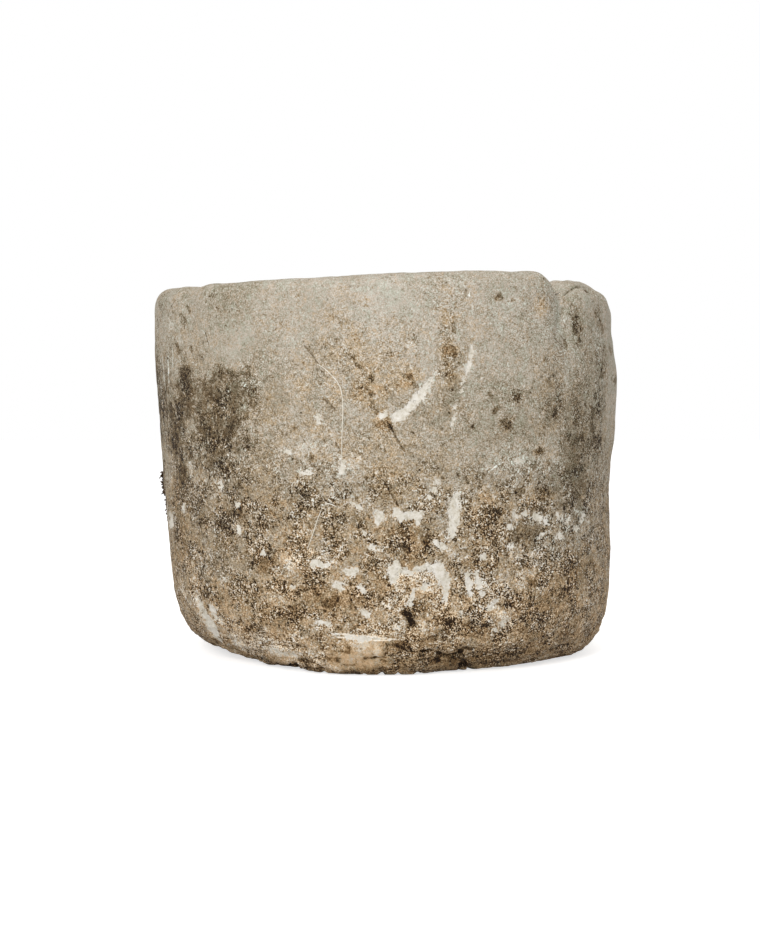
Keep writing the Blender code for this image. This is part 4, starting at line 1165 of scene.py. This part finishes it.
def new_group(name, inputs, outputs):
    """An empty node group, its graph, and its input and output sockets. Only Vector holds a vector."""
    tree = bpy.data.node_groups.new(name, "ShaderNodeTree")
    for way, sockets in (("INPUT", inputs), ("OUTPUT", outputs)):
        for socket in sockets:
            kind = "NodeSocketVector" if socket == "Vector" else "NodeSocketFloat"
            tree.interface.new_socket(name=socket, in_out=way, socket_type=kind)
    graph = Graph(tree)
    return tree, graph, graph.node("NodeGroupInput").outputs, graph.node("NodeGroupOutput").inputs


def grain_group():
    """The stone's grain: noise about 0, whose spread is about 1, and which holds several sizes of detail."""
    tree, graph, given, made = new_group("stone_grain", ("Vector",), ("Grain", "Relief", "Tint"))
    vector = given["Vector"]
    fine = graph.noise(vector, 1.2 * MM, 0.0)
    small = graph.noise(vector, 2.6 * MM, 1.0)
    medium = graph.noise(vector, 7 * MM, 1.0)
    large = graph.noise(vector, 18 * MM, 1.0)
    pebbles = graph.node("ShaderNodeTexVoronoi", feature="F1")
    graph.wire(vector, pebbles.inputs["Vector"])
    pebbles.inputs["Scale"].default_value = 1 / (2.9 * MM)
    shade = graph.node("ShaderNodeSeparateColor")
    graph.wire(pebbles.outputs["Color"], shade.inputs["Color"])
    lightness = graph.math("SUBTRACT", shade.outputs["Red"], 0.5)
    gaps = graph.step(pebbles.outputs["Distance"], 0.30, 0.62)
    graph.wire(graph.layered(
        0.42, (fine, 11.0), (small, 3.0), (medium, 2.2), (large, 1.0), (lightness, 1.8), (gaps, -1.1),
    ), made["Grain"])
    graph.wire(graph.layered(
        0.0, (medium, 2.5), (small, 1.4), (fine, 1.0), (pebbles.outputs["Distance"], -0.8),
    ), made["Relief"])
    tint = graph.math("SUBTRACT", shade.outputs["Green"], 0.5)
    tint = graph.times(graph.noise(graph.shifted(vector), 1.8 * MM, 1.0), 4.0, plus=tint)
    graph.wire(tint, made["Tint"])
    return tree


def curl_group():
    """Thin winding lines, such as the rims of lichen: 1 on a line that shows, fading out along it."""
    tree, graph, given, made = new_group("curled_lines", ("Vector", "Size"), ("Line",))
    winding = graph.node("ShaderNodeTexNoise")
    graph.wire(given["Vector"], winding.inputs["Vector"])
    graph.wire(graph.math("DIVIDE", 1.0, given["Size"]), winding.inputs["Scale"])
    winding.inputs["Detail"].default_value = 1.5
    winding.inputs["Distortion"].default_value = 0.6
    off = graph.math("ABSOLUTE", graph.math("SUBTRACT", winding.outputs["Fac"], 0.5))
    line = graph.math("SUBTRACT", 1.0, graph.step(off, 0.006, 0.045))
    stretch = graph.step(graph.noise(graph.shifted(given["Vector"]), 9 * MM, 2.0), -0.03, 0.06)
    graph.wire(graph.times(line, stretch), made["Line"])
    return tree


def fleck_group():
    """Small flecks in a share of the cells of a random grid."""
    tree, graph, given, made = new_group("flecks", ("Vector", "Spacing", "Share", "Half"), ("Fleck",))
    cells = graph.node("ShaderNodeTexVoronoi", feature="F1")
    graph.wire(given["Vector"], cells.inputs["Vector"])
    graph.wire(graph.math("DIVIDE", 1.0, given["Spacing"]), cells.inputs["Scale"])
    chance = graph.node("ShaderNodeSeparateColor")
    graph.wire(cells.outputs["Color"], chance.inputs["Color"])
    chosen = graph.math("LESS_THAN", chance.outputs["Red"], given["Share"])
    ragged = graph.noise(given["Vector"], 1.9 * MM, 1.0)
    gap = graph.times(ragged, 0.85, plus=cells.outputs["Distance"])
    half = graph.times(given["Half"], graph.times(chance.outputs["Green"], 0.8, plus=0.5))
    inside = graph.step(graph.math("SUBTRACT", half, gap), -0.04, 0.05)
    graph.wire(graph.times(chosen, inside), made["Fleck"])
    return tree


def mark_group():
    """A mark with a crisp, ragged edge, from how far inside it a point lies in mm."""
    tree, graph, given, made = new_group("ragged_mark", ("Vector", "Inside", "Raggedness", "Softness"),
                                         ("Mark",))
    coarse = graph.noise(given["Vector"], 6 * MM, 2.0)
    fine = graph.noise(given["Vector"], 1.9 * MM, 1.0)
    broken = graph.step(graph.noise(graph.shifted(given["Vector"]), 20 * MM, 2.0), 0.02, 0.10)
    crumbs = graph.times(fine, graph.times(broken, 6.0, plus=2.5))
    jitter = graph.times(coarse, 6.0, plus=crumbs)
    inside = graph.times(jitter, given["Raggedness"], plus=given["Inside"])
    softness = given["Softness"]
    graph.wire(graph.step(inside, graph.times(softness, -1.0), softness), made["Mark"])
    return tree


def new_material(name, roughness):
    made = bpy.data.materials.new(name)
    made.use_nodes = True
    shader = made.node_tree.nodes["Principled BSDF"]
    shader.inputs["Roughness"].default_value = roughness
    shader.inputs["Specular IOR Level"].default_value = 0.25
    return made, Graph(made.node_tree), shader


def limestone_material(grain, curl, flecks, mark):
    """The stone: values kept on the mesh say where, and noise says how, it is light, dark, warm and rough."""
    made, graph, shader = new_material("weathered_limestone", 0.92)
    vector = graph.coordinates()
    tone, contrast, warmth, lichen, hollow_shade = (
        graph.attribute(name) for name in ("tone", "contrast", "warmth", "lichen", "hollow_shade"))
    fresh, faint, dark = (graph.attribute(name) for name in ("fresh", "faint", "dark"))

    def ragged(inside, raggedness, softness):
        return graph.group(mark, Vector=vector, Inside=inside, Raggedness=raggedness,
                           Softness=softness)["Mark"]

    def thin_line(name):
        off = graph.math("ABSOLUTE", graph.attribute(name + "_side"))
        return ragged(graph.math("SUBTRACT", graph.attribute(name + "_half"), off), 0.35, 0.35)

    # Crust, lichen and what grows in them
    crust = graph.step(contrast, 0.045, 0.100)
    bare_stone = graph.math("SUBTRACT", 1.0, crust)
    grown = graph.step(graph.noise(vector, 22 * MM, 5.0, 0.70), -0.035, 0.035)
    swing = graph.times(graph.math("SUBTRACT", grown, 0.5), graph.times(crust, 0.65, plus=0.25))
    islands = graph.noise(graph.shifted(vector, (0.5, 0.9, 0.1)), 8 * MM, 4.0, 0.78)
    covered = graph.step(graph.times(islands, 2.8, plus=lichen), 0.32, 0.82)
    grains = graph.group(grain, Vector=vector)
    spread = graph.times(contrast, graph.times(covered, -0.05, plus=graph.math("ADD", swing, 0.95)))
    pale_lines = graph.group(curl, Vector=vector, Size=5.5 * MM)["Line"]
    dark_lines = graph.group(curl, Vector=graph.shifted(vector, (0.7, 0.2, 0.4)), Size=4.5 * MM)["Line"]
    clots = graph.times(graph.step(graph.noise(vector, 10 * MM, 4.0, 0.65), 0.10, 0.16), crust)
    cream = graph.step(graph.noise(graph.shifted(vector), 8 * MM, 4.0, 0.62), 0.11, 0.15)
    pits = graph.group(flecks, Vector=vector, Spacing=4.2 * MM, Half=0.30,
                       Share=graph.times(crust, 0.26, plus=0.12))["Fleck"]
    pale = graph.group(flecks, Vector=vector, Spacing=8.5 * MM, Half=0.26,
                       Share=graph.times(crust, 0.18))["Fleck"]
    # Dark specks here and there, and painted shade where the hollows are
    deep = graph.step(graph.times(graph.noise(vector, 4 * MM, 3.0, 0.7), 1.3, plus=hollow_shade), 0.28, 0.60)

    # Specks and blotches of the barer stone
    apart = graph.shifted(vector, (0.2, 0.6, 0.8))
    specks = graph.step(graph.noise(apart, 3.2 * MM, 2.0, 0.7), 0.08, 0.17)
    specks = graph.times(specks, graph.step(graph.noise(apart, 26 * MM, 3.0), -0.03, 0.08))
    specks = graph.times(specks, bare_stone)
    blotch = graph.times(graph.noise(apart, 11 * MM, 3.0), bare_stone)

    # Bedding layers near the ground
    level = graph.node("ShaderNodeSeparateXYZ")
    graph.wire(vector, level.inputs[0])
    low = graph.times(graph.step(level.outputs["Z"], 60 * MM, 18 * MM), crust)
    flat = graph.node("ShaderNodeVectorMath", operation="MULTIPLY")
    graph.wire(vector, flat.inputs[0])
    flat.inputs[1].default_value = (1.0, 1.0, 4.5)
    flat = flat.outputs[0]
    bed = graph.times(graph.noise(flat, 16 * MM, 4.0, 0.65), low)
    seams = graph.times(graph.group(curl, Vector=flat, Size=13 * MM)["Line"], low)

    # Marks
    growth = ragged(graph.math("ADD", dark, 0.3), 1.8, 0.55)
    growth = graph.times(growth, graph.times(covered, -0.55, plus=1.0))
    chalk = ragged(faint, 1.5, 1.2)
    halo = ragged(graph.math("ADD", fresh, 1.6), 2.2, 1.0)
    bare = ragged(fresh, 1.3, 0.45)
    crack_and_crevice_shade_line = thin_line("crack_and_crevice_shade")

    value = graph.layered(
        tone,
        (grains["Grain"], spread),
        (graph.times(swing, contrast), -1.15),
        (graph.times(pale_lines, crust), 0.10),
        (covered, -0.21),
        (graph.times(pale_lines, covered), 0.19),
        (graph.times(dark_lines, crust), -0.10),
        (clots, -0.13),
        (graph.times(cream, crust), 0.14),
        (pits, graph.times(crust, -0.14, plus=-0.08)),
        (pale, 0.12),
        (deep, -0.32),
        (hollow_shade, -0.08),
        (specks, -0.18),
        (blotch, 0.11),
        (bed, 0.45),
        (seams, -0.20),
        (growth, -0.22),
        (chalk, 0.14),
        (halo, 0.10),
        (crack_and_crevice_shade_line, -0.19),
        (thin_line("scratch"), 0.32),
    )
    stone = graph.ramp(value, {
        0.08: colour(33, 23, 13),
        0.25: colour(78, 64, 44),
        0.40: colour(116, 101, 79),
        0.55: colour(150, 139, 119),
        0.70: colour(186, 175, 161),
        0.85: colour(217, 211, 200),
        1.00: colour(244, 240, 233),
    })
    shift = graph.noise(vector, 14 * MM, 5.0, 0.75)
    warm = graph.layered(warmth, (shift, 3.4), (grains["Tint"], 0.6), (specks, 0.5))
    warm = graph.math("SUBTRACT", warm, graph.step(value, 0.62, 0.90, 0.8))
    tinted = graph.ramp(graph.times(warm, 0.4, plus=0.4), {
        0.0: (0.905, 1.0, 0.975),
        0.4: (1.0, 1.0, 1.0),
        0.8: (1.09, 0.98, 0.815),
        1.0: (1.17, 0.935, 0.68),
    })
    body = graph.mix(1.0, stone, tinted, "MULTIPLY")
    mottle = graph.noise(vector, 3.5 * MM, 3.0, 0.7)
    veil = graph.noise(graph.shifted(vector), 24 * MM, 2.0)
    chip = graph.ramp(graph.layered(0.51, (mottle, 1.5), (veil, 0.8)), {
        0.1: colour(178, 165, 143),
        0.4: colour(210, 203, 188),
        0.6: colour(222, 216, 205),
        0.9: colour(236, 232, 224),
    })
    graph.wire(graph.mix(bare, body, chip), shader.inputs["Base Color"])

    relief = graph.times(grains["Relief"], graph.times(crust, 0.75, plus=0.22))
    relief = graph.times(relief, graph.times(bare, -0.75, plus=1.0))
    relief = graph.layered(relief, (pits, -0.55), (bare, -0.35), (crack_and_crevice_shade_line, -0.6), (seams, -0.6), (bed, 2.0))
    bump = graph.node("ShaderNodeBump")
    bump.inputs["Strength"].default_value = 1.0
    bump.inputs["Distance"].default_value = 1.0 * MM
    graph.wire(relief, bump.inputs["Height"])
    graph.wire(bump.outputs["Normal"], shader.inputs["Normal"])
    return made


def blotched_material(name, roughness, size, strength, stops):
    """One whose colour wanders softly between stops, in blotches about size metres across."""
    made, graph, shader = new_material(name, roughness)
    blotch = graph.noise(graph.coordinates(), size, 2.0)
    graph.wire(graph.ramp(graph.times(blotch, strength, plus=0.5), stops), shader.inputs["Base Color"])
    return made


def moss_material():
    return blotched_material("dried_moss", 0.95, 2.5 * MM, 1.4, {
        0.15: colour(26, 18, 11),
        0.5: colour(54, 40, 26),
        0.85: colour(112, 84, 52),
    })


def rootlet_material():
    return blotched_material("dried_rootlet", 0.85, 4 * MM, 1.2, {
        0.2: colour(206, 196, 176),
        0.7: colour(238, 233, 222),
    })


# What clings to the stone

def finish_piece(shape, name, node, material):
    """Makes an object of a shape, which stands for a node of the frame."""
    mesh = mesh_of(shape, name)
    mesh.shade_smooth()
    mesh.materials.append(material)
    made = put_in_scene(name, mesh)
    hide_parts(node)
    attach(made, "root")


def add_tapered_tube(shape, route, halves, sides):
    """A closed tube through the points of a route, with its half thickness at each."""
    ring = bmesh.ops.create_circle(shape, segments=sides, radius=1.0, cap_ends=True)["verts"]
    end = ring[0].link_faces[0]
    place = Matrix.Identity(4)
    for i, (point, half) in enumerate(zip(route, halves)):
        if i:
            grown = bmesh.ops.extrude_face_region(shape, geom=[end, *end.edges])["geom"]
            ring = [part for part in grown if isinstance(part, bmesh.types.BMVert)]
            end = next(part for part in grown if isinstance(part, bmesh.types.BMFace))
        ahead = route[min(i + 1, len(route) - 1)] - route[max(i - 1, 0)]
        turn = ahead.to_track_quat("Z", "Y").to_matrix().to_4x4()
        wanted = Matrix.Translation(point) @ turn @ Matrix.Scale(half, 4)
        bmesh.ops.transform(shape, matrix=wanted @ place.inverted(), verts=ring)
        place = wanted


def make_rootlet(name, route, surface, material):
    """A thin dried root that lies along the stone, thickest in its middle."""
    rng = random.Random(name)
    places = []
    for x, y in route:
        place, normal = surface.seen(x, y)
        places.append(place + normal * ROOTLET_HALF * 1.1)
    points = []
    for start, end in zip(places, places[1:]):
        steps = max(1, round((end - start).length / ROOTLET_STEP))
        for i in range(steps):
            points.append(start.lerp(end, i / steps))
    points.append(places[-1])
    eased_points = [points[0]]
    for before, here, after in zip(points, points[1:], points[2:]):
        eased_points.append((before + here * 2 + after) / 4)
    eased_points.append(points[-1])
    count = len(eased_points) - 1
    halves = []
    for i in range(count + 1):
        thickness = 0.45 + 0.75 * math.sin(math.pi * (0.15 + 0.8 * i / count))
        halves.append(ROOTLET_HALF * thickness * rng.uniform(0.85, 1.15))
    shape = bmesh.new()
    add_tapered_tube(shape, eased_points, halves, 8)
    bmesh.ops.recalc_face_normals(shape, faces=shape.faces)
    finish_piece(shape, name + "_dried", name, material)


def make_moss(node, tuft, surface, material):
    """A tuft of dried moss: many small curled leaflets on the wall, where the frame has its cushion."""
    rng = random.Random(MOSS_SEED + len(node))
    low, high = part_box(node)
    shape = bmesh.new()
    for _ in range(tuft.leaflets):
        guess = Vector(rng.uniform(low[i], high[i]) for i in range(3))
        foot, normal, _, _ = surface.tree.find_nearest(guess)
        lean = Vector((rng.uniform(-1, 1), rng.uniform(-1, 1), rng.uniform(-1, 1)))
        out = (normal + lean * 0.8).normalized()
        length = rng.uniform(0.4, 1.0) * tuft.longest * MM
        curl = Vector((rng.uniform(-1, 1), rng.uniform(-1, 1), rng.uniform(-1, 0.6))) * length * 0.6
        start = foot - normal * 0.4 * MM
        route = [start, start + out * length * 0.35, start + out * length * 0.7 + curl * 0.35,
                 start + out * length * 0.9 + curl]
        half = rng.uniform(*LEAFLET_HALVES) * MM
        add_tapered_tube(shape, route, [half * 0.8, half, half, half * 0.6], 6)
    bmesh.ops.recalc_face_normals(shape, faces=shape.faces)
    finish_piece(shape, node + "_dried", node, material)


# The studio

def make_floor():
    shape = bmesh.new()
    bmesh.ops.create_grid(shape, x_segments=1, y_segments=1, size=FLOOR_HALF)
    mesh = mesh_of(shape, "studio_floor")
    made, graph, shader = new_material("studio_floor", 0.9)
    shader.inputs["Base Color"].default_value = (FLOOR_GREY, FLOOR_GREY, FLOOR_GREY, 1.0)
    tree = made.node_tree
    glow = graph.node("ShaderNodeEmission")
    glow.inputs["Strength"].default_value = FLOOR_GLOW
    both = graph.node("ShaderNodeAddShader")
    tree.links.new(shader.outputs["BSDF"], both.inputs[0])
    tree.links.new(glow.outputs["Emission"], both.inputs[1])
    seen = graph.plainly_seen()
    choice = graph.node("ShaderNodeMixShader")
    tree.links.new(seen, choice.inputs[0])
    tree.links.new(shader.outputs["BSDF"], choice.inputs[1])
    tree.links.new(both.outputs["Shader"], choice.inputs[2])
    tree.links.new(choice.outputs["Shader"], tree.nodes["Material Output"].inputs["Surface"])
    mesh.materials.append(made)
    floor = put_in_scene("studio_floor", mesh)


def light_world():
    """A soft even light from all round, which the camera sees as plain white."""
    world = bpy.data.worlds.new("studio")
    bpy.context.scene.world = world
    world.use_nodes = True
    graph = Graph(world.node_tree)
    background = world.node_tree.nodes["Background"]
    seen = graph.plainly_seen()
    strength = graph.times(seen, 1.0 - WORLD_STRENGTH, plus=WORLD_STRENGTH)
    graph.wire(strength, background.inputs["Strength"])
    background.inputs["Color"].default_value = (1.0, 1.0, 1.0, 1.0)


def add_lamp(name, lamp):
    light = bpy.data.lights.new(name, "AREA")
    light.shape = "DISK"
    light.size = lamp.size
    light.energy = lamp.power
    made = put_in_scene(name, light)
    made.location = lamp.place
    made.rotation_euler = (LAMP_AIM - made.location).to_track_quat("-Z", "Y").to_euler()


def make_camera():
    lens = bpy.data.cameras.new("camera")
    lens.sensor_fit = "VERTICAL"
    lens.sensor_height = SENSOR
    lens.lens = FOCAL_PIXELS / PHOTO_TALL * SENSOR
    lens.clip_start = NEAREST_SEEN
    camera = put_in_scene("camera", lens)
    camera.location = CAMERA_PLACE
    camera.rotation_euler = (math.pi / 2 - CAMERA_DOWN, 0.0, 0.0)
    bpy.context.scene.camera = camera


def main():
    make_camera()
    rough_surface = Surface(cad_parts["trough_body"].data)
    limestone = limestone_material(grain_group(), curl_group(), fleck_group(), mark_group())
    stone = make_stone(rough_surface, limestone)
    surface = Surface(stone.data)
    rootlet = rootlet_material()
    for name, route in ROOTLETS.items():
        make_rootlet(name, route, surface, rootlet)
    moss = moss_material()
    for node, tuft in TUFTS.items():
        make_moss(node, tuft, surface, moss)
    make_floor()
    light_world()
    for name, lamp in LAMPS.items():
        add_lamp(name, lamp)
    bpy.context.scene.view_settings.view_transform = "Standard"


main()
